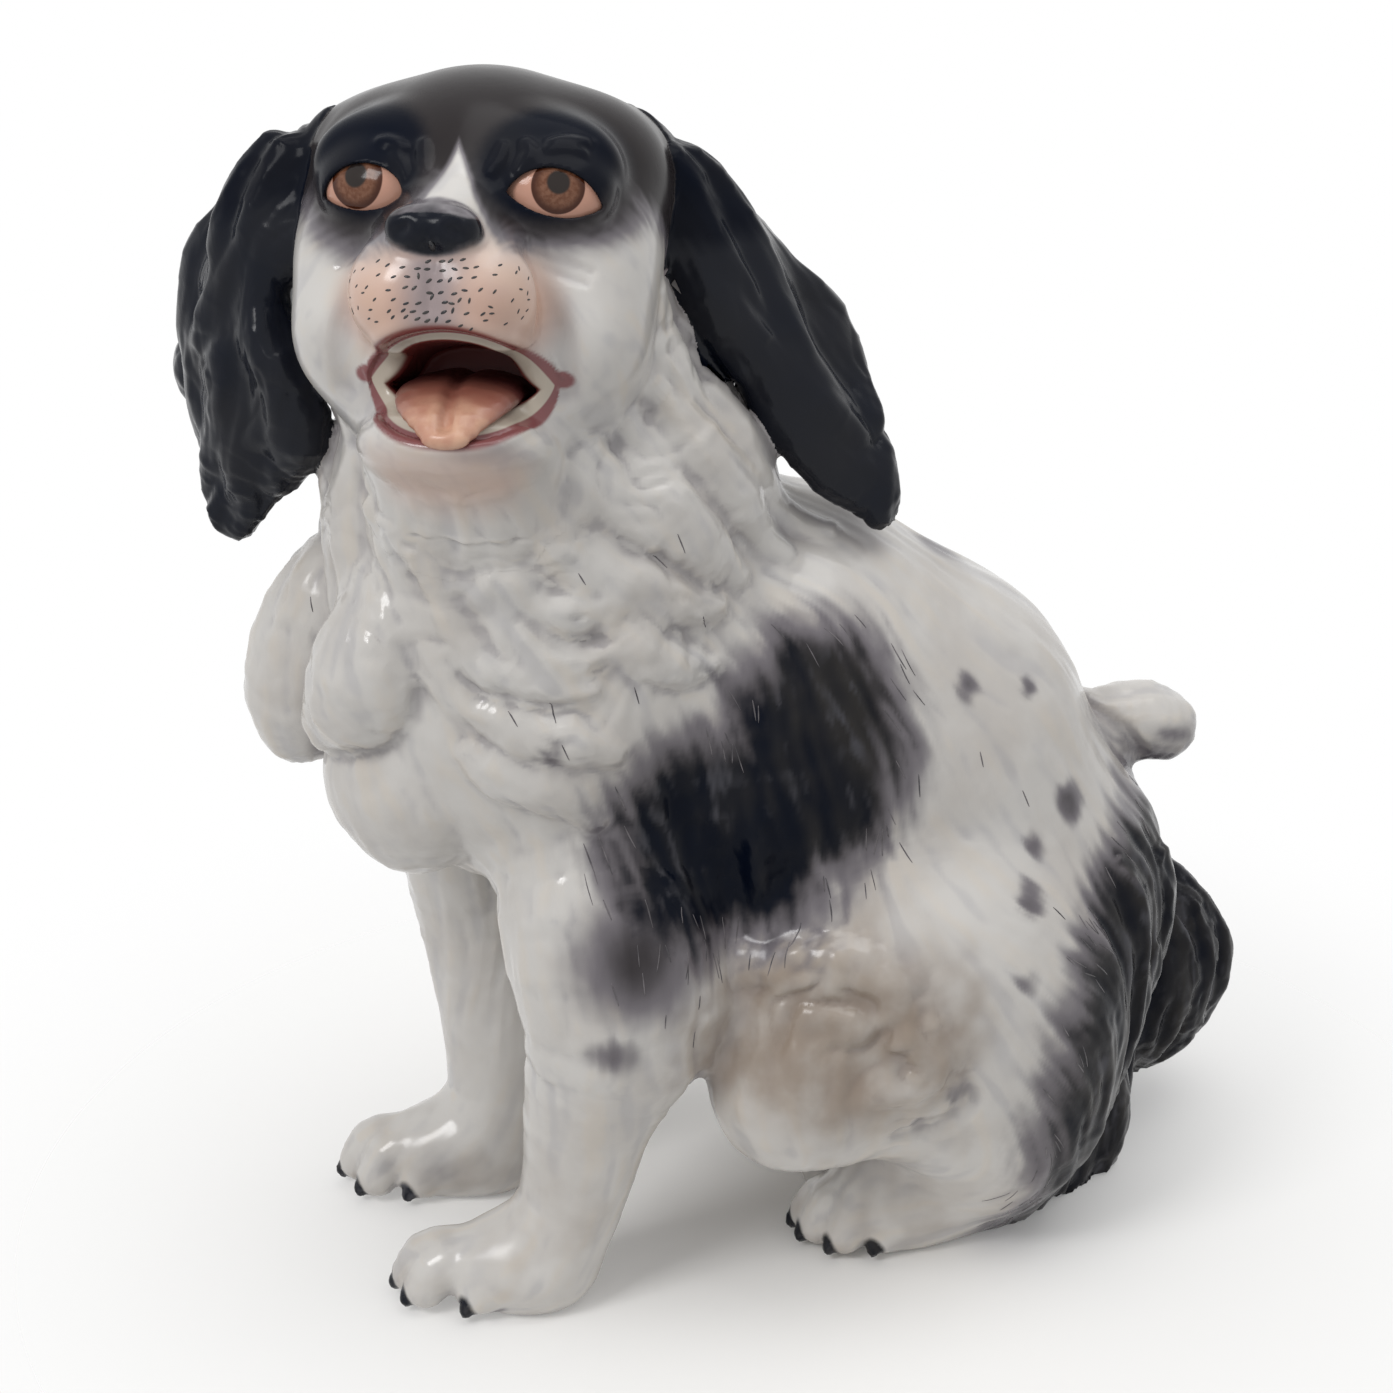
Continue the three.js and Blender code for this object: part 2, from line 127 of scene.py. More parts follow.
def segmentDistance(form, k, x, y, z):
    a, b = form["path"][k], form["path"][k + 1]
    length = np.linalg.norm(b - a) + 1e-6
    axis = (b - a) / length
    first = unit(form["across"][k] - axis * (form["across"][k] @ axis))
    second = np.cross(axis, first)
    dx, dy, dz = x - a[0], y - a[1], z - a[2]
    along = dx * axis[0] + dy * axis[1] + dz * axis[2]
    held = np.clip(along, 0, length)
    share = held / length
    halfA, halfB = form["half"][k], form["half"][k + 1]
    broad = halfA[0] + (halfB[0] - halfA[0]) * share
    thick = halfA[1] + (halfB[1] - halfA[1]) * share
    side = dx * first[0] + dy * first[1] + dz * first[2]
    depth = dx * second[0] + dy * second[1] + dz * second[2]
    return ovalReach(side, depth, along - held, (broad, thick, np.minimum(broad, thick)))


def distanceTo(form, x, y, z):
    if "path" not in form:
        return ballDistance(form, x, y, z)
    return np.minimum.reduce([segmentDistance(form, k, x, y, z) for k in range(len(form["path"]) - 1)])


def makeGrid(low, high, step):
    low = np.array(low, float)
    count = np.ceil((np.array(high, float) - low) / step).astype(int) + 1
    return dict(low=low, step=step, values=np.full(count, sculpt["farOut"], np.float32))


def openWindow(grid, low, high):
    first = np.maximum(np.floor((low - grid["low"]) / grid["step"]).astype(int), 0)
    last = np.minimum(np.ceil((high - grid["low"]) / grid["step"]).astype(int) + 1, grid["values"].shape)
    return None if np.any(last <= first) else (first, last)


def axesOf(grid, first, last):
    lines = [grid["low"][k] + grid["step"] * np.arange(first[k], last[k]) for k in range(3)]
    return [line.astype(np.float32).reshape([-1 if k == i else 1 for i in range(3)])
            for k, line in enumerate(lines)]


def softMin(a, b, soft):
    share = np.maximum(soft - np.abs(a - b), 0) / soft
    return np.minimum(a, b) - share * share * soft / 4


def press(grid, form):
    margin = form["soft"] + 3 * grid["step"]
    window = openWindow(grid, form["low"] - margin, form["high"] + margin)
    if window is None:
        return
    first, last = window
    cells = tuple(slice(a, b) for a, b in zip(first, last))
    if "path" in form:
        distance = np.full(last - first, sculpt["farOut"], np.float32)
        for k in range(len(form["path"]) - 1):
            reach = form["half"][k:k + 2].max() + margin
            ends = form["path"][k:k + 2]
            part = openWindow(grid, ends.min(axis=0) - reach, ends.max(axis=0) + reach)
            if part is None:
                continue
            part = np.maximum(part[0], first), np.minimum(part[1], last)
            here = tuple(slice(a, b) for a, b in zip(part[0] - first, part[1] - first))
            distance[here] = np.minimum(distance[here], segmentDistance(form, k, *axesOf(grid, *part)))
    else:
        distance = ballDistance(form, *axesOf(grid, first, last))
    old = grid["values"][cells]
    if form["cut"]:
        grid["values"][cells] = -softMin(-old, distance, form["soft"])
    else:
        grid["values"][cells] = softMin(old, distance, form["soft"])


def blendCorners(f, read):
    # Trilinear: weighs the eight corners of each cell
    total = 0
    for corner in range(8):
        i, j, h = corner & 1, corner >> 1 & 1, corner >> 2
        share = (f[:, 0] if i else 1 - f[:, 0]) * (f[:, 1] if j else 1 - f[:, 1]) * (f[:, 2] if h else 1 - f[:, 2])
        found = read(i, j, h)
        total = total + (share[:, None] * found if found.ndim > 1 else share * found)
    return total


def valuesAt(grid, points):
    at = np.clip((points - grid["low"]) / grid["step"], 0, np.array(grid["values"].shape[:3]) - 1.001)
    k = at.astype(int)
    return blendCorners(at - k, lambda i, j, h: grid["values"][k[:, 0] + i, k[:, 1] + j, k[:, 2] + h])


def slopeAt(grid, points, reach=2.0):
    steps = np.eye(3) * reach
    return unit(np.stack([valuesAt(grid, points + s) - valuesAt(grid, points - s) for s in steps], axis=1))


noiseCount = 40
noiseCells = chance.random((noiseCount, noiseCount, noiseCount)).astype(np.float32)


def solidNoise(points, size):
    # Soft random values between 0 and 1 with cells of a size in mm
    at = points / size
    k = np.floor(at).astype(int)
    f = at - k
    k = k % noiseCount
    n = (k + 1) % noiseCount
    return blendCorners(f * f * (3 - 2 * f), lambda i, j, h: noiseCells[
        (n if i else k)[:, 0], (n if j else k)[:, 1], (n if h else k)[:, 2]])


# Torso, with the full right haunch
torso = dict(
    chest=([-2, -41, 130], [42, 42, 46]), mane=([0, -38.5, 163], [36, 41.5, 36]),
    ribs=([0, 4, 111], [41, 45, 49]), loin=([0, 35, 98], [38, 38, 43]), rump=([0, 50, 66], [41, 41, 44]),
    seat=([1, 50, 12], [22, 37, 34]), breech=([-19, 86, 33], [21, 33, 27]), nape=([3, -32, 190], [23, 18, 22]),
)
hindquarters = dict(
    thigh=([34, 26, 60], [21, 36, 32]), knee=([36, -1, 48], [16, 17, 18]), flank=([24, 9, 70], [19, 26, 24]),
    hip=([27, 45, 42], [23, 27, 36]), heel=([19, 44, 13], [11, 20, 15]),
)
forms = [ball("torso", *form) for form in torso.values()]
for at, half in hindquarters.values():
    for side in (1, -1):
        forms.append(ball("torso", [at[0] * side, at[1], at[2]], half))

# Forelegs: rows of place, half width and half depth
forelegs = dict(
    left_foreleg=[(21, -36, 104, 14, 18), (27, -37, 86, 17, 21), (30.5, -34.5, 67, 16, 20),
                  (26.5, -40, 46, 13, 13.8), (24, -43.5, 24, 10.8, 10.6), (23, -49.5, 10, 10.6, 11)],
    right_foreleg=[(-20, -42, 104, 14, 18), (-26, -46, 86, 16, 20), (-29, -45.5, 67, 14, 17),
                   (-26.5, -45, 46, 12, 13.5), (-25, -45, 24, 11, 12), (-24, -48, 10, 11, 12.5)],
)
for node, rows in forelegs.items():
    rows = smoothPath(rows, 12)
    forms.append(limb(node, rows[:, :3], rows[:, 3:], [1, 0, 0], soft=7.0))

# Paws: the pad, then four toes from their knuckles to the claws on their tips
paws = dict(
    left_foreleg=dict(pad=([20.5, -55, 8.5], [11, 15, 10]), knuckle=10.6,
                      tips=[(8.5, -70), (12.4, -78.6), (19.4, -77.8), (27.4, -67.4)]),
    right_foreleg=dict(pad=([-26, -57, 9], [11, 15, 10.5]), knuckle=11.4,
                       tips=[(-38, -70), (-33.6, -79.6), (-24.4, -77.8), (-18.8, -68.6)]),
    left_hind_paw=dict(pad=([23.5, 28, 12], [12, 17, 14]), knuckle=12.0,
                       tips=[(15.4, 5.6), (21.2, 5.4), (28.0, 9.2), (31.8, 17.8)]),
    right_hind_paw=dict(pad=([-22, 34, 10], [11, 14, 11]), knuckle=11.0,
                        tips=[(-15, 19), (-20, 15.5), (-27, 17.5), (-32, 26)]),
)
clawHalf = np.array([1.3, 1.6, 2.1])
claws = []
for node, paw in paws.items():
    forms.append(ball(node, *paw["pad"], soft=6.0))
    middle = np.array(paw["pad"][0][:2], float)
    for k, tip in enumerate(np.array(paw["tips"], float)):
        ahead = unit(tip - middle)
        rise = paw["knuckle"] * (0.8 if k in (0, 3) else 1.0)
        rows = [(*(middle + 0.3 * (tip - middle)), rise, 4.9, 5.4),
                (*(tip - 8.2 * ahead), 0.88 * rise, 5.1, 5.5),
                (*(tip - 4.4 * ahead), 5.3, 4.4, 4.5)]
        rows = smoothPath(rows, 6)
        forms.append(limb(node, rows[:, :3], rows[:, 3:], [-ahead[1], ahead[0], 0], soft=1.5))
        claws.append(np.array([*(tip - 0.6 * ahead), 3.2]))
        forms.append(ball(node, claws[-1], clawHalf, 0.5))

# Stub tail, pinched at its root
tail = smoothPath([(0, 60, 102, 7, 7), (0, 70, 100.5, 6.2, 6), (0, 79, 100.6, 7.6, 7.2),
                   (0, 87, 100, 9.2, 8.4), (0, 92.4, 98.2, 8, 7.6)], 10)
forms.append(limb("tail", tail[:, :3], tail[:, 3:], [1, 0, 0], soft=5.0))
tailFold = smoothPath([(3.5, 73, 107), (7, 77, 104.5), (8.6, 81, 100.5), (8, 84.5, 95)], 8)
forms.append(limb("tail", tailFold, np.tile([1.1, 1.5], (8, 1)), [0, 1, 0.5], soft=2.2, cut=True))

# Hanging locks on the chest
chestLocks = dict(
    right_chest_lock=[(-13, -72, 152, 9, 8), (-16, -81, 138, 12, 10.5), (-17, -84.5, 124, 13, 12),
                      (-17, -86, 116, 10, 9)],
    left_chest_lock=[(13, -69, 158, 8, 8), (16, -73.5, 147, 11.5, 10.5), (14.5, -78.5, 135, 12.5, 11.5),
                     (8, -83, 125.5, 7.5, 7)],
    lower_chest_lock=[(5, -60, 124, 14, 13), (6, -68, 114, 20, 17.5), (7, -69, 106.5, 17, 14.5)],
)
for node, rows in chestLocks.items():
    rows = smoothPath(rows, 9)
    forms.append(limb(node, rows[:, :3], rows[:, 3:], [1, 0, 0], soft=1.8))

# Head, in its own frame: left, rear, up from the middle of the skull
head = dict(
    skull=([0, 0, 0], [31, 33, 28.5]), throat=([0, -3, -28], [24, 23, 22]),
    bridge=([0, -29, -2.5], [9.5, 15, 8]), muzzle=([-0.6, -31, -13], [14.8, 12.5, 10.5]),
    jaw=([0.5, -24.5, -39.4], [17, 15, 7.5]), bib=([1, -13, -47], [16, 10, 13], 12.0),
)
headPairs = dict(
    cheek=([17.5, -11, -19], [14.6, 17, 16], 7.0), temple=([20, 2, 10], [12, 16, 12], 9.0),
    cheekbone=([20.5, -8, -6], [10.8, 14, 11], 8.0),
    pad=([7.0, -33.2, -14], [8.8, 11.2, 9.2], 6.0), brow=([15.4, -19.4, 9], [11.6, 7.2, 8.6], 5.0),
)
forms += [onHead(*form) for form in head.values()]
for at, half, soft in headPairs.values():
    forms += [onHead([at[0] * side, at[1], at[2]], half, soft) for side in (1, -1)]

# Ears: sections down the flap, thin in the middle, with wavy strands laid over
ears = dict(
    left_ear=dict(across=[0.5, 0.82, 0.25], phase=0.4, rows=[
        (17, 4, 17, 6, 7), (26, 8, 15, 7, 7), (34, 13.5, 8, 10.5, 7.5), (41, 18.5, -2.5, 13.5, 8),
        (48.5, 23.5, -15.5, 15.5, 8.5), (54.8, 27.5, -25.5, 15, 8.5), (62.3, 31.8, -35.6, 11, 7.5),
        (68.8, 35, -45, 5.8, 5.6), (71.4, 35.2, -50, 3.6, 3.6)]),
    right_ear=dict(across=[-0.69, 0.69, 0.21], phase=2.1, rows=[
        (-19, 0, 16, 6, 7), (-31, -1, 13.5, 7, 7), (-37.5, 0, 7.5, 9.5, 7.5), (-42.5, 2.5, -1, 13, 8),
        (-45.5, 6.5, -11.5, 15, 8.5), (-47.5, 10.5, -22.5, 19, 9.5), (-47, 15, -34.5, 21, 9.5),
        (-48, 18, -45, 17, 8.5), (-51.5, 20, -55, 8, 6)]),
)
combs = []  # place, direction and reach of each pull of the comb
for node, ear in ears.items():
    rows = smoothPath(ear["rows"], 22)
    path, half = fromHead(rows[:, :3]), rows[:, 3:]
    across = headTurn @ unit(ear["across"])
    along = unit(np.gradient(path, axis=0))
    outward = np.cross(along, across)
    outward *= np.sign((outward * (path - headAt)).sum(axis=1))[:, None]
    combs += [(path[k], along[k], 9.0) for k in range(2, 22, 3)]
    scallop = 0.86 + 0.12 * np.sin(2 * math.pi * 2.7 * np.linspace(0, 1, 22) + ear["phase"])
    forms.append(limb(node, path, half * np.stack([scallop, np.full(22, 0.62)], axis=1), across, soft=5.0))
    for strand in range(7):
        lane = (strand - 3) / 3
        t = np.linspace(0, 1, 22)
        wave = np.sin(2 * math.pi * (2.3 * t + 0.13 * strand) + ear["phase"] + lane)
        shift = lane * 0.70 * half[:, 0] + 2.8 * wave * ease(0.25, 0.6, t)
        lift = (0.34 - 0.25 * lane ** 2 + 0.26 * np.cos(2 * math.pi * 1.9 * t + strand * 2.1)) * half[:, 1]
        strandPath = path + shift[:, None] * across + lift[:, None] * outward
        keep = slice(4, 22 - abs(strand - 3 + (1 if node == "left_ear" else 0)))
        taper = 1 - 0.35 * ease(0.8, 1, t)[:, None]
        size = np.stack([0.25 * half[:, 0] + 0.4, 0.55 * half[:, 1]], axis=1) * taper
        forms.append(limb(node, strandPath[keep], size[keep], across, soft=2.8))

# A curl that stands out at the edge of the right ear
forms.append(onHead([-61.5, 27, -26.5], [5, 6, 7], 4.0, node="right_ear"))

# Face: eyes, nose and mouth
eye = dict(half=[9.8, 6.0, 7.2], lidRise=0.9, sink=0.6, pupil=0.44)  # pupil as a share of the iris
eyes = [
    dict(name="left_eye", middle=[16.3, -24.4, 4.6], outward=15, cornerHalf=8.4, cornerUp=-1.7, upperRise=5.3,
         lowerDrop=2.9, tilt=-0.1, iris=4.6, gaze=(0.4, 0.5)),
    dict(name="right_eye", middle=[-14.6, -24.4, 4.6], outward=-13, cornerHalf=8.6, cornerUp=-2.2,
         upperRise=5.7, lowerDrop=2.3, tilt=0.0, iris=5.0, gaze=(-1.3, 0.7)),
]
for one in eyes:
    turn = turnAbout("Z", one["outward"])
    forms.append(onHead(one["middle"], np.array(eye["half"]) + eye["lidRise"], 2.0, turn))
    one.update(at=fromHead(one["middle"]), turn=headTurn @ turn)
nose = dict(at=[-0.3, -43.2, -3.1], half=[7.3, 3.9, 3.4])
forms.append(onHead(nose["at"], nose["half"], 2.6))
for side in (1, -1):
    forms.append(onHead([nose["at"][0] + side * 3.9, -43.6, -3.5], [3.4, 3.0, 2.8], 3.0))
    nostril = turnAbout("Y", side * 34)
    forms.append(onHead([nose["at"][0] + side * 4.8, -46.8, -4.2], [1.5, 0.6, 0.5], 1.8, nostril, cut=True))
forms.append(onHead([0, -47.5, -14.5], [0.7, 3.2, 6.5], 2.0, cut=True))  # groove under the nose
mouth = dict(middle=1.7, halfWide=16.5, corner=-27.8, rise=7.9, drop=11.2, gum=4.2, ledge=2.4, back=-12.0)


def lipEdge(left, up):
    # Between the bow of the upper lip and the deeper one of the lower lip; mm, negative in the opening
    out = np.minimum(((left - mouth["middle"]) / mouth["halfWide"]) ** 2, 1.6)
    upper = up - mouth["corner"] - mouth["rise"] * np.sign(1 - out) * np.abs(1 - out) ** 0.75
    lower = mouth["corner"] - up - mouth["drop"] * np.sign(1 - out) * np.abs(1 - out ** 1.3) ** 0.62
    return np.maximum(upper, lower) * 0.8


def gumWidth(up):
    return mouth["gum"] - 2.7 * ease(-29, -22, up) - 1.0 * ease(-33, -37, up)  # broadest at the corners


def lipFront(left):
    return -40.5 + 0.042 * (left - mouth["middle"]) ** 2


def turnedWindow(grid, middle, reach, at, turn):
    # Cells about a place, with their left, rear and up in a turned frame
    window = openWindow(grid, middle - reach, middle + reach)
    if window is None:
        return None, None
    dx, dy, dz = (line - a for line, a in zip(axesOf(grid, *window), at))
    local = [turn[0, k] * dx + turn[1, k] * dy + turn[2, k] * dz for k in range(3)]
    return tuple(slice(a, b) for a, b in zip(*window)), local


def carveMouth(grid):
    # A shallow opening to the ledge of the gums, and a narrower one down the throat
    cells, local = turnedWindow(grid, fromHead([1, -34, -29]), 30, headAt, headTurn)
    if cells is None:
        return
    left, rear, up = local
    edge = lipEdge(left, up)
    shallow = np.maximum(edge, rear - lipFront(left) - mouth["ledge"])
    deep = np.maximum(edge + gumWidth(up), rear - mouth["back"])
    grid["values"][cells] = -softMin(-grid["values"][cells], np.minimum(shallow, deep), 1.0)


def carveEyes(grid):
    # The almond opening bares the eyeball, a little below the lids
    for one in eyes:
        cells, local = turnedWindow(grid, one["at"], 14.0, one["at"], one["turn"])
        if cells is None:
            continue
        left, rear, up = local
        above = up - one["cornerUp"] - one["tilt"] * left
        upper = (one["cornerHalf"] ** 2 + one["upperRise"] ** 2) / (2 * one["upperRise"])
        lower = (one["cornerHalf"] ** 2 + one["lowerDrop"] ** 2) / (2 * one["lowerDrop"])
        almond = np.maximum(np.hypot(left, above + upper - one["upperRise"]) - upper,
                            np.hypot(left, above - lower + one["lowerDrop"]) - lower)
        bared = np.maximum(np.maximum(almond, -eye["sink"] - ovalReach(left, rear, up, eye["half"])),
                           rear + 1.0)
        grid["values"][cells] = -softMin(-grid["values"][cells], bared, 0.25)


# The comb: how the coat lies, on both sides alike
for at, direction in [
    ((0, -88, 160), (0.0, -0.2, -1.0)), ((26, -72, 160), (0.25, 0.25, -0.95)),
    ((36, -45, 155), (0.1, 0.6, -0.8)), ((34, -18, 172), (0.0, 0.55, -0.85)),
    ((10, -4, 180), (0.0, 0.7, -0.7)), ((0, 20, 162), (0.0, 0.75, -0.66)),
    ((38, -30, 120), (0.0, 0.35, -0.95)), ((40, 0, 115), (0.0, 0.3, -0.95)),
    ((40, 20, 105), (0.0, 0.25, -0.97)), ((0, 45, 140), (0.0, 0.75, -0.66)),
    ((34, 45, 110), (0.0, 0.6, -0.8)), ((30, 65, 90), (0.0, 0.5, -0.87)), ((20, 88, 60), (0.0, 0.1, -1.0)),
    ((48, 30, 60), (0.0, 0.55, -0.8)), ((50, 0, 60), (0.0, -0.45, -0.9)), ((45, -10, 45), (0.0, 0.5, -0.85)),
    ((20, -70, 120), (0.2, 0.2, -0.95)), ((0, -80, 105), (0.0, 0.3, -0.95)),
    ((28, -40, 60), (0.0, 0.0, -1.0)), ((24, -45, 25), (0.0, -0.2, -1.0)), ((22, -66, 15), (0.0, -0.9, -0.4)),
    ((26, 10, 18), (0.0, -0.9, -0.4)), ((0, 90, 100), (0.0, 1.0, -0.2)), ((15, 75, 20), (0.0, 0.2, -1.0)),
]:
    combs += [(np.array([at[0] * side, at[1], at[2]]), unit([direction[0] * side, *direction[1:]]), 15.0)
              for side in (1, -1)]
for at, direction in [
    ((0, -46, 3), (0, 0.6, 0.8)), ((9, -36, 8), (0.4, 0.6, 0.7)), ((10, -20, 26), (0.3, 0.9, 0.2)),
    ((0, 5, 30), (0, 1, 0)), ((24, -22, -6), (0.75, 0.6, -0.5)), ((27, -10, -18), (0.4, 0.6, -0.8)),
    ((20, -20, -32), (0.5, 0.5, -0.8)), ((28, 4, -25), (0.2, 0.5, -0.9)), ((14, -38, -16), (0.8, 0.4, -0.6)),
    ((0, -24, -46), (0, 0.5, -0.9)),
]:
    for side in (1, -1):
        pull = headTurn @ unit([direction[0] * side, *direction[1:]])
        combs.append((fromHead([at[0] * side, at[1], at[2]]), pull, 10.0))

flow = makeGrid([-75, -115, -10], [70, 130, 255], 5.0)
cellPlaces = np.stack(np.meshgrid(*[flow["low"][k] + 5.0 * np.arange(n)
                                    for k, n in enumerate(flow["values"].shape)],
                                  indexing="ij"), axis=-1).reshape(-1, 3)
pull = np.zeros_like(cellPlaces)
for at, direction, reach in combs:
    gap = ((cellPlaces - at) ** 2).sum(axis=1) / (2 * reach ** 2)
    pull += (np.exp(-gap) + 1e-4 / (1 + gap))[:, None] * direction
waves = np.stack([solidNoise(cellPlaces + 31.0 * j, 13.0) for j in range(3)], axis=1) - 0.5
flow["values"] = unit(unit(pull) + 0.75 * waves).reshape(*flow["values"].shape, 3).astype(np.float32)
print("combed", len(combs), "pulls")

# Locks of hair, grown along the comb over the plain body
plain = makeGrid([-62, -105, -4], [62, 128, 250], sculpt["traceStep"])
for form in forms:
    if form["node"] in ("torso", "head", "left_foreleg", "right_foreleg"):
        press(plain, form)


def growLocks(node, seeds, length, half, sway, phases, turns=1.0, lift=0.2, soft=1.6, veer=0.0):
    # Every lock starts at a seed, follows the comb over the body and swings from side to side
    count = max(6, int(length / 3.2))
    p = np.array(seeds, float)
    phases = np.array(phases, float)[:, None]
    sizes = np.array(half) * (0.8 + 0.4 * chance.random((len(p), 1)))
    paths, sides = [], []
    for k in range(count):
        for _ in range(3):
            n = slopeAt(plain, p)
            p = p - n * valuesAt(plain, p)[:, None] * 0.8
        d = valuesAt(flow, p)
        d = unit(d - n * (d * n).sum(axis=1, keepdims=True))
        side = np.cross(n, d)
        paths.append(p + n * lift * sizes[:, 1:])
        bend = veer + sway * np.sin(phases + 2 * math.pi * turns * k / (count - 1))
        step = d * np.cos(bend) + side * np.sin(bend)
        sides.append(np.cross(n, step))
        p = p + step * length / (count - 1)
    t = np.linspace(0, 1, count)
    swell = np.minimum(ease(-0.25, 0.3, t), 0.22 + 0.78 * (1 - t ** 2.2))
    paths, sides = np.stack(paths, axis=1), np.stack(sides, axis=1)
    forms.extend(limb(node, paths[j], np.outer(swell, sizes[j]), sides[j], soft) for j in range(len(p)))


def bothSides(rows):
    return np.concatenate([np.array(rows, float), np.array(rows, float) * [-1, 1, 1]])


def scattered(low, high, count):
    return np.array(low) + (np.array(high) - np.array(low)) * chance.random((count, 3))


def layLock(node, places, half, soft=3.0, lift=0.1, cut=False):
    # A lock laid along the given places over the plain body, thickest in the middle
    path = smoothPath(places, 14)
    for _ in range(6):
        n = slopeAt(plain, path)
        path = path - n * valuesAt(plain, path)[:, None] * 0.8
    t = np.linspace(0, 1, 14)
    swell = np.minimum(ease(-0.3, 0.3, t), ease(1.25, 0.55, t))
    along = np.gradient(path, axis=0)
    forms.append(limb(node, path + n * lift * half[1], np.outer(swell, half), np.cross(n, along), soft, cut))


# The big curls of the ruff on the dog's left, then the falls of hair down the neck
curls = [
    ([(27, -67, 163), (28, -66, 157), (29, -65, 151), (31.5, -63, 145.5), (35, -58, 141.5), (38, -51, 139),
      (39, -43, 138)], (4.6, 4.2)),
    ([(30, -62, 161), (32, -59.5, 156), (34, -56.5, 150), (36.5, -52, 145), (38, -46, 143), (38, -40, 144.5)],
     (3.8, 3.6)),
    ([(31, -60, 167), (32, -58, 162), (34.5, -54, 156), (36.5, -47, 152.5), (37, -40.5, 153), (37, -35, 156)],
     (4.2, 3.6)),
    ([(33, -52, 170), (34.5, -48, 164.5), (36.5, -41, 159.5), (36, -33, 155), (35, -24, 150), (32, -15, 148)],
     (4.6, 3.6)),
    ([(38, -38, 150), (38.5, -33, 144), (38, -26, 140), (36.5, -18, 138)], (4.4, 3.2)),
    ([(22, -71, 165), (23, -71, 158), (25, -70, 150), (27, -68, 142), (31, -64, 135), (35, -57, 131)],
     (3.6, 2.6)),
    ([(33, -60, 134), (36, -54, 130), (39, -46, 128), (41, -38, 124)], (4.4, 3.0)),
    ([(30, -62, 126), (34, -57, 121), (38, -49, 117), (40, -42, 110)], (4.6, 3.0)),
    ([(34, -30, 176), (35, -24, 168), (34, -17, 160), (31, -9, 153)], (5.0, 3.2)),
    ([(28, -22, 184), (30, -14, 175), (29, -6, 166), (26, 2, 157)], (5.0, 3.0)),
    ([(20, -14, 186), (22, -6, 176), (21, 3, 166), (18, 12, 158)], (4.6, 2.8)),
    ([(31, -44, 182), (33, -38, 173), (35, -31, 164)], (4.4, 2.6)),
    ([(30, -54, 180), (32, -50, 173), (33, -46, 168)], (4.0, 2.2)),
]
for places, half in curls:
    layLock("torso", places, half)
    layLock("torso", np.array(places) * [-1, 1, 1], half)
for places in [
    [(-4, -85, 192), (-4, -86, 182), (-3, -86, 170), (-5, -85, 158)],
    [(-10, -82, 194), (-12, -82, 182), (-12, -83, 168), (-14, -82, 154)],
    [(-18, -77, 192), (-20, -77, 180), (-20, -78, 166), (-22, -75, 152)],
    [(6, -84, 180), (7, -83, 172), (9, -82, 162), (11, -80, 154)],
    [(-27, -69, 186), (-29, -69, 174), (-30, -68, 162), (-32, -64, 150)],
]:
    layLock("torso", places, (4.0, 2.6))
neckHairs = scattered((-36, -88, 160), (36, -30, 184), 60)
neckHairs = neckHairs[np.linalg.norm(neckHairs - fromHead([1, -34, -30]), axis=1) > 36]  # clear of the mouth
growLocks("torso", neckHairs, 24, (2.6, 1.5), 0.3, 6.3 * chance.random(len(neckHairs)), lift=0.05, soft=3.0)
for low, high, count in [((-34, 64, 20), (34, 96, 84), 34), ((-40, 90, 12), (4, 120, 58), 18)]:
    growLocks("torso", scattered(low, high, count), 34, (3.4, 2.0), 0.35, 6.3 * chance.random(count),
              lift=0.1, soft=2.2)

# Folds of the thigh and the creases over the hock
thighFolds = [
    ([(36, -12, 76), (42, -6, 77), (47, 5, 79), (51, 12, 75), (53, 14.5, 69), (53.5, 13, 63)], (3.4, 2.0),
     False),
    ([(54, 19.3, 65), (54.4, 20.5, 58), (53.9, 16.6, 53.9), (53.5, 9.6, 52)], (2.8, 1.8), False),
    ([(53.5, 27, 54), (54, 28, 47), (53.5, 23.5, 42), (52.5, 15, 40)], (1.6, 1.3), True),
]
for places, half, cut in thighFolds:
    for side in (1, -1):
        layLock("torso", np.array(places) * [side, 1, 1], half, soft=4.0, cut=cut)

# Wrinkles over the eyes and fine creases from the muzzle to the cheek
wrinkles = [
    ([(-10.3, -32, 10.6), (-9, -33, 8.5), (-8.2, -33, 5.9)], False),
    ([(-6.2, -32, 13.4), (-5.6, -33, 10.4), (-4.9, -34, 8)], False),
    ([(-13.5, -30, 13.5), (-11.2, -31, 13.2), (-8.8, -32, 12.4)], False),
    ([(12.3, -31, 14.6), (13, -31.5, 11.9), (11.6, -32, 7.8)], False),
    ([(16.4, -30, 12.6), (19.5, -29, 13.3), (22.6, -28, 12.6)], False),
    ([(8.8, -32, 13.4), (8.3, -33, 10.6), (7.4, -34, 8.2)], False),
    ([(17, -30, 15), (20, -29, 15.6), (23, -27, 15)], False),
    ([(14.1, -31, -5.2), (18, -27, -7.2), (22, -22, -9.2)], True),
    ([(14.6, -31, -7.4), (18, -27, -9.2), (21.4, -23, -11.2)], True),
    ([(-13.6, -31, -5.2), (-16.5, -27, -7.4), (-19, -23, -10)], True),
]
for places, cut in wrinkles:
    layLock("head", fromHead(places), (0.5, 0.6) if cut else (0.8, 0.6), soft=1.8, lift=0.1, cut=cut)
for side in (1, -1):  # the fold between the muzzle and the cheek
    fold = np.array([(14.5, -33, -7), (17.3, -31, -14), (19.3, -28, -22), (20.3, -25, -31)]) * [side, 1, 1]
    layLock("head", fromHead(fold), (1.4, 1.0), soft=4.5, lift=0.0, cut=True)
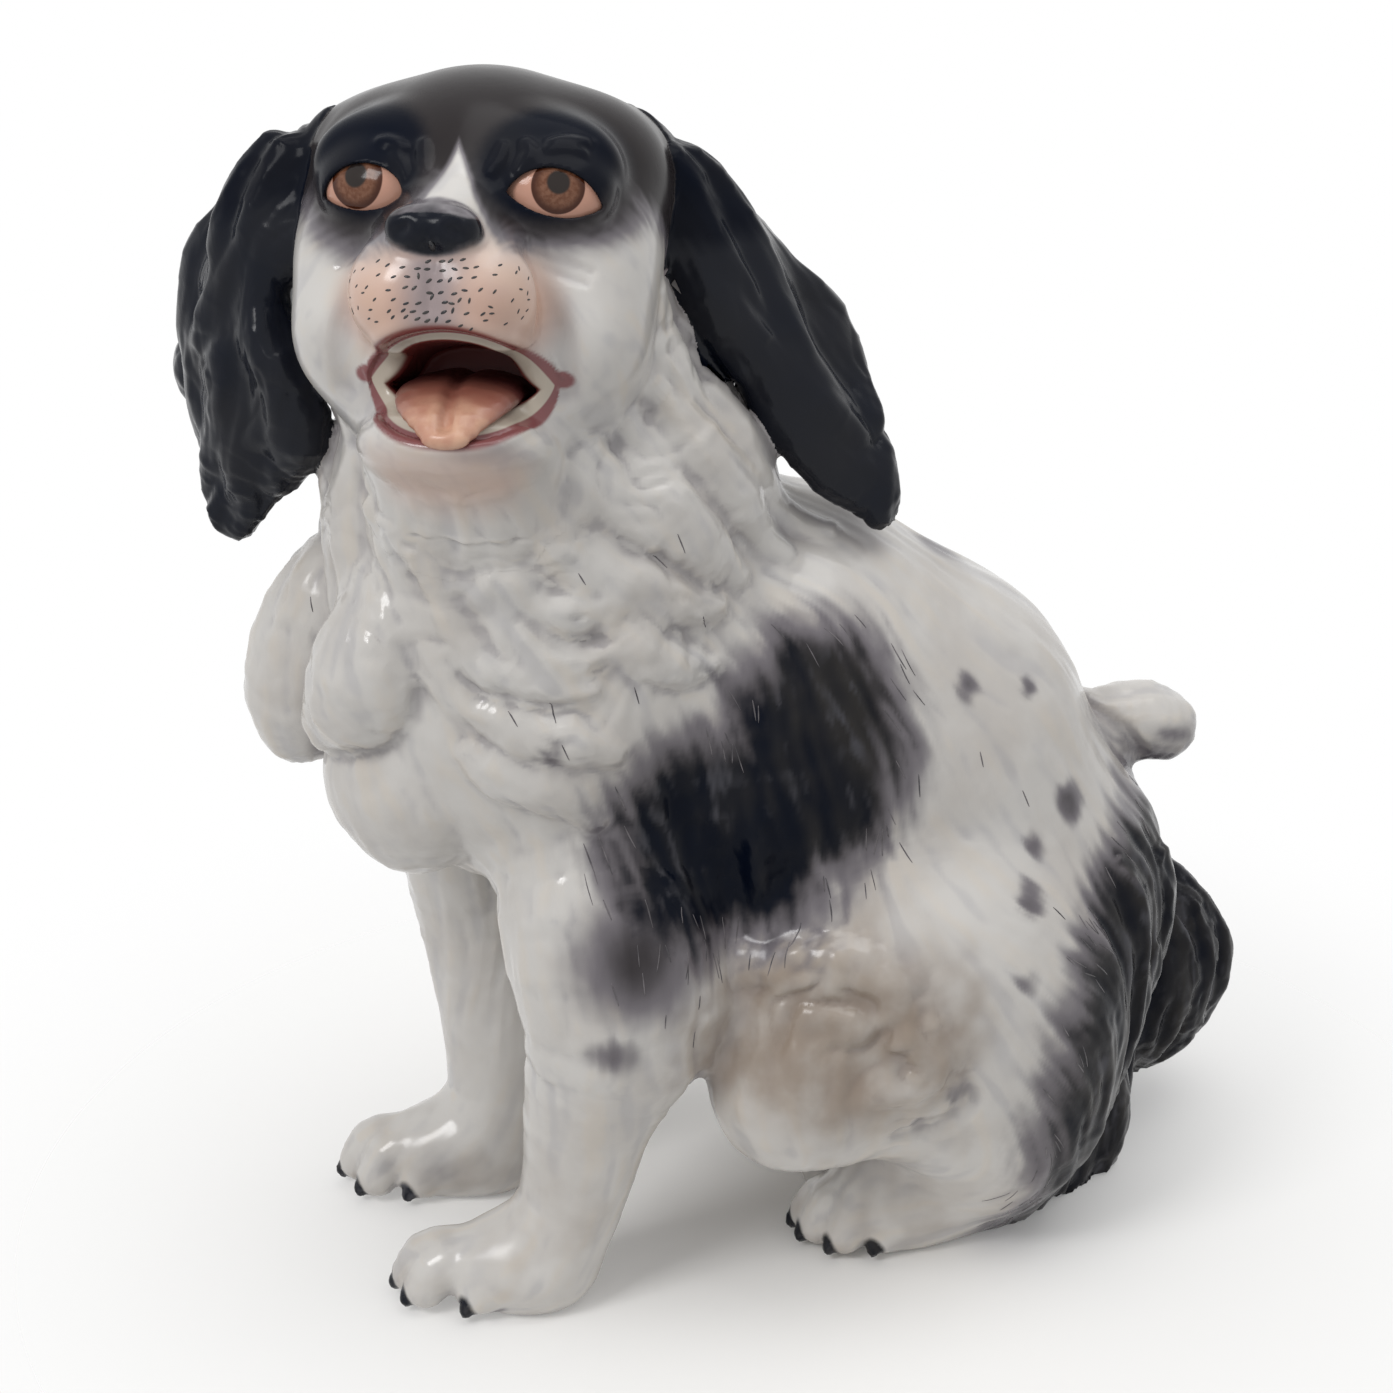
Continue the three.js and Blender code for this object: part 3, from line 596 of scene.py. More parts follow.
cheekHair = bothSides([(28, -4, -10), (29, -2, -20), (28, 2, -28), (27, -4, -36), (24, -4, -44), (29, 6, -22),
                       (27, 6, -36)])
growLocks("head", fromHead(cheekHair), 20, (2.2, 1.2), 0.3, 1.1 * np.arange(len(cheekHair)), lift=0.0,
          soft=3.0)
print("laid out", len(forms), "forms")


def model(low, high, step):
    grid = makeGrid(low, high, step)
    for form in forms:
        press(grid, form)
    carveMouth(grid)
    carveEyes(grid)
    z = axesOf(grid, [0, 0, 0], grid["values"].shape)[2]
    grid["values"] = np.maximum(grid["values"], -z).astype(np.float32)  # stands flat on the ground
    return grid


def normalsOf(points, quads):
    a, b, c, d = (points[quads[:, k]] for k in range(4))
    face = np.cross(c - a, d - b)
    total = np.stack([sum(np.bincount(quads[:, k], face[:, axis], len(points)) for k in range(4))
                      for axis in range(3)], axis=1)
    return unit(total)


def castSkin(grid):
    # The surface of a grid, as quads that face outwards
    band = 3 * grid["step"]
    cloud = openvdb.FloatGrid(band)
    cloud.copyFromArray(np.clip(grid["values"], -band, band))
    points, quads = cloud.convertToQuads(isovalue=0.0)
    points, quads = points.astype(float) * grid["step"] + grid["low"], quads.astype(np.int64)
    normals = normalsOf(points, quads)
    if (normals * (points - points.mean(axis=0))).sum() < 0:
        quads, normals = quads[:, ::-1], -normals
    return points, quads, normals


def edgesOf(quads):
    pairs = np.concatenate([quads[:, [k, (k + 1) % 4]] for k in range(4)])
    pairs = np.unique(np.sort(pairs, axis=1), axis=0)
    return np.concatenate([pairs, pairs[:, ::-1]])


def relax(values, edges, rounds):
    # Averages along the mesh, for vectors or numbers
    count = np.maximum(np.bincount(edges[:, 0], minlength=len(values)), 1)
    for _ in range(rounds):
        if values.ndim == 1:
            values = np.bincount(edges[:, 0], values[edges[:, 1]], len(values)) / count
        else:
            values = np.stack([np.bincount(edges[:, 0], values[edges[:, 1], k], len(values)) / count
                               for k in range(values.shape[1])], axis=1)
    return values


grainLevel = {}


def combedNoise(points, normals, size, length, steps):
    # Random grain drawn out along the comb, as hair lies
    total = solidNoise(points, size)
    for way in (1, -1):
        p = points.copy()
        for k in range(steps):
            d = valuesAt(flow, p)
            d -= normals * (d * normals).sum(axis=1, keepdims=True)
            p = p + unit(d) * way * length / steps
            total = total + solidNoise(p, size)
    total = total / (2 * steps + 1)
    if size not in grainLevel:
        grainLevel[size] = total.mean(), total.std()  # from the body, so that the head's skin matches it
    return (total - grainLevel[size][0]) / grainLevel[size][1]


nodes = ["torso", "head", "left_ear", "right_ear", "left_foreleg", "right_foreleg", "left_hind_paw",
         "right_hind_paw", "tail", "left_chest_lock", "right_chest_lock", "lower_chest_lock"]
headNodes, earNodes, legNodes = [1, 2, 3], [2, 3], [4, 5, 6, 7]


def nearestNodes(points):
    # Distance from each point to the main forms of every node
    found = np.full((len(points), len(nodes)), 99.0)
    for form in forms:
        if form["cut"] or form["node"] == "head" and "path" in form:
            continue
        k = nodes.index(form["node"])
        inside = np.all((points > form["low"] - 8) & (points < form["high"] + 8), axis=1)
        if inside.any():
            found[inside, k] = np.minimum(found[inside, k], distanceTo(form, *points[inside].T))
    return found


skins = []
for name, low, high, step in (("body", (-62, -112, -3), (62, 128, 206), sculpt["bodyStep"]),
                              ("head", (-50, -112, 146), (52, 36, 250), sculpt["headStep"])):
    grid = model(low, high, step)
    points, quads, normals = castSkin(grid)
    print(name, "skin of", len(points), "points")
    # Painted shade in the creases: how closely the body closes in, 3 and 7 mm out from each point
    creaseShade = np.clip(sum(1 - valuesAt(grid, points + normals * far) / far for far in (3.0, 7.0)) / 2, 0, 1)
    skins.append(dict(name=name, points=points, quads=quads, normals=normals, edges=edgesOf(quads), step=step,
                      creaseShade=creaseShade))

# Paint that follows the coat: dark patches and the rump
darkCoat = [ball("paint", *f) for f in (
    ([39, 2.5, 119], [22, 14, 22]), ([40, -17, 103.5], [22, 20, 18]), ([-39, 0, 114], [22, 22, 28]),
)]


def coatReach(p):
    # mm from the dark patches, negative inside
    patch = np.minimum.reduce([distanceTo(form, *p.T) for form in darkCoat])
    rump = np.maximum(52 + 0.011 * np.maximum(p[:, 2] - 45, 0) ** 2 - p[:, 1], p[:, 2] - 88) * 0.8
    return np.minimum(patch, np.where(p[:, 1] > 20, rump, 30.0))


# Hair relief: waves, strands and fine hairs, deepest in the dark coat and none on the face and the paws
relief = dict(
    # mm across and along the hair, steps of the comb
    wave=(4.2, 16.0, 7), strand=(2.2, 11.0, 8), hair=(1.1, 7.0, 7),
    waveShare=0.5, strandShare=0.32, hairShare=0.05,
    plain=0.24, neck=0.2, thigh=0.15, rump=0.35, patch=0.5, ear=0.3, paw=0.1, leg=0.3, face=0.45,  # mm
    curl=7.5, earCurl=15.0, curlWarp=22.0, earPuff=0.55, neckPuff=0.35, thighPuff=4.0,
    lipRoll=0.6, tuck=0.5, overBody=0.06,  # rim of the lips, and the two skins at the neck
)
thighArea = ball("torso", [0, 12, 60], [50, 26, 26])
for skin in skins:
    points, normals, isBody = skin["points"], skin["normals"], skin["name"] == "body"
    height, back = points[:, 2], points[:, 1]
    left, rear, up = toHead(points).T
    skin["near"] = nearestNodes(points)
    skin["owner"] = skin["near"].argmin(axis=1)
    isHead = skin["owner"] == nodes.index("head")
    isEar, isLeg = np.isin(skin["owner"], earNodes), np.isin(skin["owner"], legNodes)
    wave, strand, hair = (combedNoise(points, normals, *relief[key]) for key in ("wave", "strand", "hair"))
    skin["coat"], skin["strand"], skin["hair"] = coatReach(points), strand, hair

    neckHair = ease(112, 150, height) * ease(12, -24, back)
    thighHair = ease(12, -8, distanceTo(thighArea, *points.T))
    hairyHead = np.maximum(ease(-6, 10, rear) * ease(14, -4, up), ease(-43, -50, up))
    amount = relief["plain"] + relief["neck"] * neckHair + relief["thigh"] * thighHair
    amount = amount + np.where(back > 40, relief["rump"], relief["patch"]) * ease(5, -5, skin["coat"])
    amount = np.where(isLeg, relief["paw"] + relief["leg"] * ease(20, 70, height), amount)
    amount = np.where(isEar, relief["ear"], np.where(isHead, relief["face"] * hairyHead, amount))
    amount = relax(amount, skin["edges"], 8)

    # Puffs of hair with creases between
    warp = np.stack([solidNoise(points + 17.0 * j, 12.0) for j in range(3)], axis=1) - 0.5
    curlSize = np.where(isEar, relief["earCurl"], relief["curl"])[:, None]
    curl = np.abs(solidNoise(points + relief["curlWarp"] * warp, curlSize) - 0.5) * 5 - 0.8
    puff = np.where(isLeg, 0, relief["thighPuff"] * thighHair + relief["neckPuff"] * neckHair)
    puff = np.where(isEar, relief["earPuff"], np.where(isHead, relief["neckPuff"] * hairyHead, puff))
    puff = relax(puff, skin["edges"], 8)

    rim = np.exp(-((lipEdge(left, up) - 1.0) / 1.1) ** 2)
    lip = relief["lipRoll"] * rim * (isHead & (rear < lipFront(left) + 4))
    hairs = relief["waveShare"] * wave + relief["strandShare"] * strand + relief["hairShare"] * hair
    moved = points + normals * (amount * hairs + puff * curl + lip)[:, None]
    moved[:, 2] = np.maximum(moved[:, 2], 0.0)

    headGap = skin["near"][:, headNodes].min(axis=1)
    bodyGap = np.delete(skin["near"], headNodes, axis=1).min(axis=1)
    # mm beyond the joint at the neck
    past = skin["past"] = bodyGap - headGap if isBody else headGap - bodyGap
    if isBody:
        bodyTree = BVHTree.FromPolygons(moved.tolist(), skin["quads"].tolist())
        moved -= normals * (relief["tuck"] * ease(0.2, 2.8, past))[:, None]  # dips under the head's skin
    else:
        # About the neck the head's skin lies on the body's, a hair's breadth above it
        for k in np.nonzero(np.abs(past) < 4)[0]:
            spot = bodyTree.find_nearest(moved[k].tolist(), 1.5)[0]
            if spot is not None:
                target = np.array(spot) + relief["overBody"] * normals[k]
                moved[k] += ease(-4, -1, past[k]) * (target - moved[k])
    skin["points"] = moved
    skin["normals"] = normalsOf(skin["points"], skin["quads"])
    # Painted shade in the hollows: how far each point lies below its smoothed neighbours
    eased = relax(skin["points"], skin["edges"], 10 if skin["step"] > 0.7 else 22)
    skin["hollow"] = ((eased - skin["points"]) * skin["normals"]).sum(axis=1)
print("combed the coat")

# Paint: dark coat, grey washes, warm stains, face colours and single strokes of the brush
greySpots = [(ball("paint", at, [r, r, r]), soft, strength) for at, r, soft, strength in (
    ([38.4, -50.6, 127.6], 3.2, 3, 0.6), ([44.4, -41.4, 65.4], 4.2, 4, 0.6),
    ([31.6, 34.4, 126.3], 2.4, 2.5, 0.7), ([28.1, 49.1, 122.1], 2.2, 2.5, 0.7),
    ([32.7, 56.6, 99.5], 3.6, 3, 0.75), ([37.5, 47.3, 93.2], 2.0, 2.5, 0.6),
    ([42.4, 43.4, 84.1], 3.4, 3, 0.75), ([49.5, 39.8, 70.7], 3.0, 3, 0.6), ([0, 38.8, 144.9], 6.0, 5, 0.6),
    ([43.5, -36, 84], 10.0, 11, 0.9), ([-34, 42, 118], 4.0, 3, 0.6), ([-40, 50, 92], 5.0, 4, 0.6),
    # the two spots near x 53 on the next row are painted shade along the crease over the hock
    ([-44, -40, 70], 5.0, 5, 0.5), ([53.5, 27, 49], 2.4, 3, 0.5), ([52.6, 20, 42], 2.2, 3, 0.5),
    ([27.5, -60, 3], 1.8, 2, 0.5), ([26, -54, 3.5], 2.2, 2, 0.5), ([-17, -61, 9], 4.5, 6, 0.3),
    ([-22, -72, 10], 2.4, 4, 0.25),
)]
warmStain = ball("paint", [45, 4, 64], [22, 28, 22])
peachMuzzle, chinPeachShade = onHead([-0.5, -33, -15], [18, 14.5, 11]), onHead([0, -34, -46], [14, 12, 5])
for skin in skins:
    p, strand, hair = skin["points"], skin["strand"], skin["hair"]
    left, rear, up = toHead(p).T
    blotch, mottle = solidNoise(p, 9.0) - 0.5, solidNoise(p + 50, 3.6) - 0.5
    fray = 1.2 * strand + 1.1 * hair + 4.5 * blotch
    isHead, isEar = skin["owner"] == nodes.index("head"), np.isin(skin["owner"], earNodes)

    coat = skin["coat"] + fray
    earRoot = np.where(isHead & (up > -6), skin["near"][:, earNodes].min(axis=1) * 1.5 - 2.0, 9.0)
    black = np.where(isEar, -6.0, np.minimum(coat * 0.5, earRoot))

    # Face: goggles round the eyes, charcoal skull, white blaze
    goggles = np.minimum(np.hypot((left - 16) / 11.8, (up - 9) / 10.2),
                         np.hypot((left + 15.5) / 11.2, (up - 9) / 10.8))
    goggles = (goggles - 1) * 11.5
    skullCap = 2 - up + 0.4 * np.minimum(-18 - np.minimum(rear, 2), 0) + 0.4 * np.maximum(rear - 6, 0)
    blaze = np.maximum(np.abs(left - 0.8 - 0.12 * (11.3 - up)) - 0.4 * (11.3 - up), -(up + 8))
    onNose = ovalReach(left - nose["at"][0], rear - nose["at"][1], up - nose["at"][2],
                       np.array(nose["half"]) + 1.4)
    black = np.where(isHead, np.minimum(np.where(rear < -8, goggles, 12.0), black), black)
    black = np.where(isHead & (blaze < 1.5) & (rear < -24), np.maximum(black, -blaze * 1.6), black)
    # Painted light: the nose is grey rather than black where it faces upwards
    noseTopLight = ease(0.3, 0.75, (skin["normals"] @ headTurn)[:, 2])
    black = np.where(isHead, np.minimum(black, onNose * 4 - 1 + 6 * noseTopLight), black)
    claw = np.min([np.linalg.norm((p - c) / clawHalf, axis=1) for c in claws], axis=0)
    black = np.minimum(black, (claw - 1.5) * 5)

    spots = np.maximum.reduce([strength * ease(soft, -soft, distanceTo(spot, *p.T) + 0.5 * fray)
                               for spot, soft, strength in greySpots])
    wash = np.maximum(0.85 * ease(14, -3, coat), spots)
    skull = isHead | (p[:, 2] > 190)
    charcoal = np.where(skull, ease(4, -8, skullCap + 2.5 * blotch + 0.8 * hair), 0)
    underEye = 0.92 * ease(np.where(left < 0, 12, 10), 0, goggles + 2 * blotch)
    underEye = np.where(isHead & (rear < -4), underEye, 0)
    noBlaze = ease(-1.0, 1.2, blaze) * np.where(rear < -24, 1, 0) + np.where(rear < -24, 0, 1)
    faceWash = np.maximum(np.maximum(charcoal, underEye) * noBlaze, 0.55 * ease(1.2, -0.6, onNose))
    wash = np.where(skull, faceWash, wash)
    wash = wash * (1 + 0.2 * hair * (1 - np.clip(wash, 0, 1)))
    # Lips: thin above, broad at the sides, with a dab at each corner
    lipReach = lipEdge(left, up) - 1.5 + 1.1 * ease(-26, -21, up) + 0.5 * ease(-35, -38, up)
    corners = np.minimum(np.hypot((left - 18.7) / 2.5, (up + 27.4) / 1.5),
                         np.hypot((left + 15.1) / 2.1, (up + 27.6) / 1.5))
    lip = 0.92 * np.maximum(ease(0.4, -0.4, lipReach), ease(1.2, 0.8, corners))
    patchTone = 0.08 + 0.4 * ease(-10, 12, p[:, 1]) + 0.25 * ease(106, 130, p[:, 2])
    coatTone = np.where(p[:, 1] > 40, 0.55, patchTone) + 0.2 * strand
    tone = np.where(isEar | isHead, 0.1, coatTone) + 0.4 * blotch
    inMouth = isHead & (rear < -10)
    stained = distanceTo(warmStain, *p.T) + 10 * blotch + 6 * mottle
    lowWarmth = ease(70, 10, p[:, 2]) * ease(-0.1, 0.35, blotch + 0.5 * mottle)  # warm mottles, more of them towards the ground
    peach = 0.95 * ease(6, -5, distanceTo(peachMuzzle, *p.T))
    # Under the chin: peach tint, and painted shade beneath the overhang of the lower lip
    peach = peach + 0.45 * ease(6, -4, distanceTo(chinPeachShade, *p.T))
    mauve = ease(9, 1, np.abs(left)) * ease(-6, -10, up) * ease(-24, -18, up) * ease(-26, -34, rear)
    sheen = 0.7 * ease(0.4, 2.4, 0.6 * hair + 0.6 * strand + 2 * mottle)  # painted sheen on the raised hairs in the dark coat, broken by mottles
    skin["paint"] = dict(
        black=black, wash=np.clip(wash, 0, 1), tone=np.clip(tone, 0, 1),
        sheen=np.where(isEar | isHead, 0, sheen),
        warm=0.85 * ease(10, -10, stained) + 0.3 * lowWarmth,
        peach=np.where(isHead, peach, 0), mauve=np.where(isHead, mauve, 0),
        mouth=np.where(inMouth, lipEdge(left, up) / gumWidth(up), 9.0), lip=np.where(inMouth, lip, 0),
        hollow=skin["hollow"], creaseShade=skin["creaseShade"], strand=strand,
    )
print("painted")

# Single brush strokes of raised enamel: whisker dashes, and hairs about the chest and along the dark coat
whiskers, strokes = [], []  # place, direction or None for the comb's, length and width in mm
for row in range(7):
    for k in range(7):
        for side in (1, -1):
            left = 0.2 + side * (1.0 + 1.85 * k + 0.4 * (row % 2)) + chance.normal(0, 0.3)
            up = -9.0 - 1.7 * row + 0.06 * k * row + chance.normal(0, 0.3)
            if up < -8.8 - 0.5 * max(k - 2, 0) and up > -20.8 - 0.1 * k * k:
                slant = chance.normal(0.6, 0.35)
                aim = headTurn @ np.array([math.cos(slant), 0, math.sin(slant)])
                whiskers.append((fromHead([left, -44 + 0.045 * left ** 2, up]), aim, 1.15 - 0.06 * k,
                                 0.75 - 0.05 * k))
# The line down from the nose
whiskers.append((fromHead([nose["at"][0], -46.5, -6.2]), headTurn @ np.array([0.0, 0, -1]), 2.4, 1.2))
for low, high, count in [
    ((20, -70, 124), (42, -10, 166), 20), ((-20, -96, 140), (0, -80, 168), 8),
    ((34, -44, 60), (50, -18, 92), 10), ((30, 28, 60), (54, 60, 130), 16),
    ((-42, -70, 124), (-20, -10, 166), 20),
]:
    for place in scattered(low, high, count):
        strokes.append((place, None, 2.5 + 2.5 * chance.random(), 0.4))
body = skins[0]
edgeZone = np.where((body["coat"] > -1) & (body["coat"] < 8) & (body["owner"] != 8))[0]
for k in chance.choice(edgeZone, 200):
    strokes.append((body["points"][k], None, 3.0 + 3.5 * chance.random(), 0.25 + 0.2 * chance.random()))


def drawStrokes(strokes):
    # Each stroke is a thin closed sliver that follows the skin
    points, faces = [], []
    trees = [BVHTree.FromPolygons(skin["points"].tolist(), skin["quads"].tolist()) for skin in skins]
    for place, direction, length, width in strokes:
        tree = trees[1] if place[2] > 185 else trees[0]
        on, normal, _, gap = tree.find_nearest(place)
        if on is None or gap > 5:
            continue
        count = max(4, int(length / 0.6))
        rows = []
        swerve = chance.normal(0, 0.16)
        for k in range(count + 1):
            here, n = np.array(on), np.array(normal)
            d = valuesAt(flow, here[None])[0] if direction is None else direction
            d = unit(d - n * (d @ n))
            d = unit(d + swerve * np.cross(n, d))
            side = np.cross(n, d)
            half = 0.5 * width * (0.12 + math.sin(math.pi * (k + 0.2) / (count + 0.4)) ** 0.6)
            rows.append([here - side * half - n * 0.15, here - side * half * 0.5 + n * 0.06,
                         here + side * half * 0.5 + n * 0.06, here + side * half - n * 0.15])
            on, normal, _, gap = tree.find_nearest(here + d * length / count)
        start = sum(len(r) for r in points)
        points.append(np.array(rows).reshape(-1, 3))
        for k in range(count):
            a = start + 4 * k
            faces += [(a + i, a + (i + 1) % 4, a + 4 + (i + 1) % 4, a + 4 + i) for i in range(4)]
        end = start + 4 * count
        faces += [(start + 3, start + 2, start + 1, start), (end, end + 1, end + 2, end + 3)]
    print("drew", len(points), "strokes")
    return np.vstack(points), np.array(faces)


# Glaze and paint as materials

def toLinear(code):
    parts = [int(code[k:k + 2], 16) / 255 for k in (1, 3, 5)]
    return [c / 12.92 if c <= 0.04045 else ((c + 0.055) / 1.055) ** 2.4 for c in parts] + [1.0]


def addNode(tree, kind, inputs=None, out=0, **settings):
    # A node with its settings and links; hands back one output
    node = tree.nodes.new("ShaderNode" + kind)
    for key, value in settings.items():
        setattr(node, key, value)
    for key, value in (inputs or {}).items():
        if isinstance(value, bpy.types.NodeSocket):
            tree.links.new(value, node.inputs[key])
        else:
            node.inputs[key].default_value = value
    return node.outputs[out] if len(node.outputs) else None


def newMaterial(name):
    material = bpy.data.materials.new(name)
    material.use_nodes = True
    material.node_tree.nodes.clear()
    return material, material.node_tree


smooth = dict(interpolation_type="SMOOTHSTEP")


def layPaint(tree, paint, coats):
    # Coat over coat: a colour and its share, or a pattern, the values it slides between and the shares there
    for shade, share, *slide in coats:
        if slide:
            low, high, least, most = (*slide, 0.0, 1.0)[:4]
            share = addNode(tree, "MapRange", {0: share, 1: low, 2: high, 3: least, 4: most}, **smooth)
        shade = toLinear(shade) if isinstance(shade, str) else shade
        paint = addNode(tree, "Mix", {0: share, 6: paint, 7: shade}, 2, data_type="RGBA", clamp_factor=True)
    return paint


def glaze(tree, color, roughness, shine=0.5):
    # Clear fired glaze: sharp highlights with the soft unevenness of a dipped coat, in ripples of 6 mm
    place = addNode(tree, "TexCoord", out="Object")
    ripple = addNode(tree, "TexNoise", {"Vector": place, "Scale": 1 / (6.25 * mm), "Detail": 2.0})
    bump = addNode(tree, "Bump", {"Height": ripple, "Strength": 0.10, "Distance": 0.6 * mm})
    shader = addNode(tree, "BsdfPrincipled", {
        "Base Color": color, "Roughness": roughness, "IOR": 1.5, "Specular IOR Level": shine, "Normal": bump})
    addNode(tree, "OutputMaterial", {"Surface": shader})


coatColors = dict(
    white="#d2cfcb", shade="#8d888c", grey="#716c71", charcoal="#292526", blueBlack="#080e1b",
    brownGrey="#312f2e", sheen="#54545a", warm="#8b7a6a", cream="#d6cab9", grooveShade="#a3a3aa",
    peach="#d9a98f", mauve="#928a8f", lip="#7a3639", gum="#bfb5a6", throat="#6e3330",
)


def makeCoat():
    # Hand-painted porcelain: warm white body, painted shade in the creases and hollows, painted light and shade
    # along the hair, blue-black coat with frayed edges
    material, tree = newMaterial("hand-painted porcelain glaze")
    color = coatColors
    painted = {key: addNode(tree, "Attribute", out="Fac", attribute_name=key) for key in skins[0]["paint"]}
    place = addNode(tree, "TexCoord", out="Object")
    # Clouds of 18 mm from the brush; the grain of the paint, about 0.2 mm, drawn at 1.1 mm so that it shows
    cloudy = addNode(tree, "TexNoise", {"Vector": place, "Scale": 1 / (18.18 * mm), "Detail": 4.0})
    fine = addNode(tree, "TexNoise", {"Vector": place, "Scale": 1 / (1.111 * mm), "Detail": 3.0})
    thinned = addNode(tree, "MapRange", {0: cloudy, 1: 0.3, 2: 0.65, 3: 0.5, 4: 1.0}, **smooth)
    stain = addNode(tree, "Math", {0: painted["warm"], 1: thinned}, operation="MULTIPLY")
    blush = addNode(tree, "Math", {0: painted["mauve"], 1: 0.85}, operation="MULTIPLY")
    paint = layPaint(tree, toLinear(color["white"]), [
        (color["warm"], cloudy, 0.35, 0.75, 0.0, 0.22),
        # painted highlight in cream on the raised strands, painted shade in grey in the grooves between them
        (color["cream"], painted["strand"], 0.2, 2.2, 0.0, 0.3),
        (color["grooveShade"], painted["strand"], -0.2, -2.2, 0.0, 0.3),
        # painted shade in the creases and the hollows
        (color["shade"], painted["creaseShade"], 0.1, 0.9, 0.0, 0.6),
        (color["shade"], painted["hollow"], 0.03, 0.5, 0.0, 0.5),
        (color["warm"], stain), (color["peach"], painted["peach"]), (color["mauve"], blush),
        (color["grey"], painted["wash"], 0.0, 0.55), (color["charcoal"], painted["wash"], 0.45, 1.0),
    ])
    ragged = addNode(tree, "MapRange", {0: fine, 1: 0.25, 2: 0.75, 3: -0.15, 4: 0.15}, **smooth)
    edge = addNode(tree, "Math", {0: painted["black"], 1: ragged}, operation="ADD")
    ink = layPaint(tree, toLinear(color["blueBlack"]), [
        (color["brownGrey"], painted["tone"]), (color["sheen"], painted["sheen"])])
    paint = layPaint(tree, paint, [
        (ink, edge, 1.8, -2.0), (color["lip"], painted["lip"]),
        (color["gum"], painted["mouth"], -0.24, -0.34), (color["throat"], painted["mouth"], -0.82, -0.96)])
    roughness = addNode(tree, "MapRange", {0: cloudy, 1: 0.3, 2: 0.7, 3: 0.16, 4: 0.26}, **smooth)
    # Thick dark paint takes less shine, and the inside of the mouth the least
    shine = addNode(tree, "MapRange", {0: edge, 1: -2.0, 2: 1.8, 3: 0.18, 4: 0.45}, **smooth)
    for source, low, high, least, most in ((painted["wash"], 0.4, 1.0, 1.0, 0.3),
                                           (painted["mouth"], -1.0, -0.7, 0.2, 1.0)):
        dulled = addNode(tree, "MapRange", {0: source, 1: low, 2: high, 3: least, 4: most}, **smooth)
        shine = addNode(tree, "Math", {0: shine, 1: dulled}, operation="MULTIPLY")
    glaze(tree, paint, roughness, shine)
    return material


coatMaterial = makeCoat()


def makeMesh(name, points, faces, normals, attributes, material):
    # faces is a list of arrays, each with its own corner count
    mesh = bpy.data.meshes.new(name)
    mesh.vertices.add(len(points))
    mesh.vertices.foreach_set("co", ((points + dogShift) * mm).astype(np.float32).ravel())
    corners = np.concatenate([f.ravel() for f in faces])
    counts = np.concatenate([np.full(len(f), f.shape[1]) for f in faces])
    mesh.loops.add(len(corners))
    mesh.loops.foreach_set("vertex_index", corners.astype(np.int32))
    mesh.polygons.add(len(counts))
    mesh.polygons.foreach_set("loop_start", np.concatenate([[0], np.cumsum(counts)[:-1]]).astype(np.int32))
    mesh.polygons.foreach_set("use_smooth", np.ones(len(counts), bool))
    for key, values in attributes.items():
        layer = mesh.attributes.new(key, "FLOAT", "POINT")
        layer.data.foreach_set("value", values.astype(np.float32))
    mesh.update(calc_edges=True)
    mesh.validate()
    if normals is not None:
        mesh.normals_split_custom_set_from_vertices(normals.tolist())
    mesh.materials.append(material)
    piece = bpy.data.objects.new(name, mesh)
    bpy.context.scene.collection.objects.link(piece)
    return piece


def closeLoops(points, quads, normals):
    # A skirt straight inwards from each open edge and a fan over it, so that each casting is a closed piece
    directed = np.concatenate([quads[:, [k, (k + 1) % 4]] for k in range(4)])
    key = directed.min(axis=1) * (len(points) + 1) + directed.max(axis=1)
    _, where, count = np.unique(key, return_index=True, return_counts=True)
    onward = {}
    for a, b in directed[where[count == 1]]:
        onward.setdefault(int(b), []).append(int(a))
    added, inward, skirts, fans = [], [], [], []
    while onward:
        here = next(iter(onward))
        loop = []
        while here in onward:
            loop.append(here)
            ahead = onward[here].pop()
            if not onward[here]:
                del onward[here]
            here = ahead
        if len(loop) < 3:
            continue
        start = len(points) + sum(len(rows) for rows in added)
        lower = points[loop] - 1.6 * normals[loop]
        facing = -unit(normals[loop].mean(axis=0))
        added.append(np.vstack([lower, lower.mean(axis=0) + 2.0 * facing]))
        inward.append(np.vstack([normals[loop], facing]))
        for k in range(len(loop)):
            n = (k + 1) % len(loop)
            skirts.append((loop[k], loop[n], start + n, start + k))
            fans.append((start + k, start + n, start + len(loop)))
    added, inward = (np.vstack([np.zeros((0, 3)), *rows]) for rows in (added, inward))
    return added, inward, np.array(skirts, int).reshape(-1, 4), np.array(fans, int).reshape(-1, 3)


def settle(piece, node=None):
    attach(piece, "root")
    if node:
        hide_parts(node)


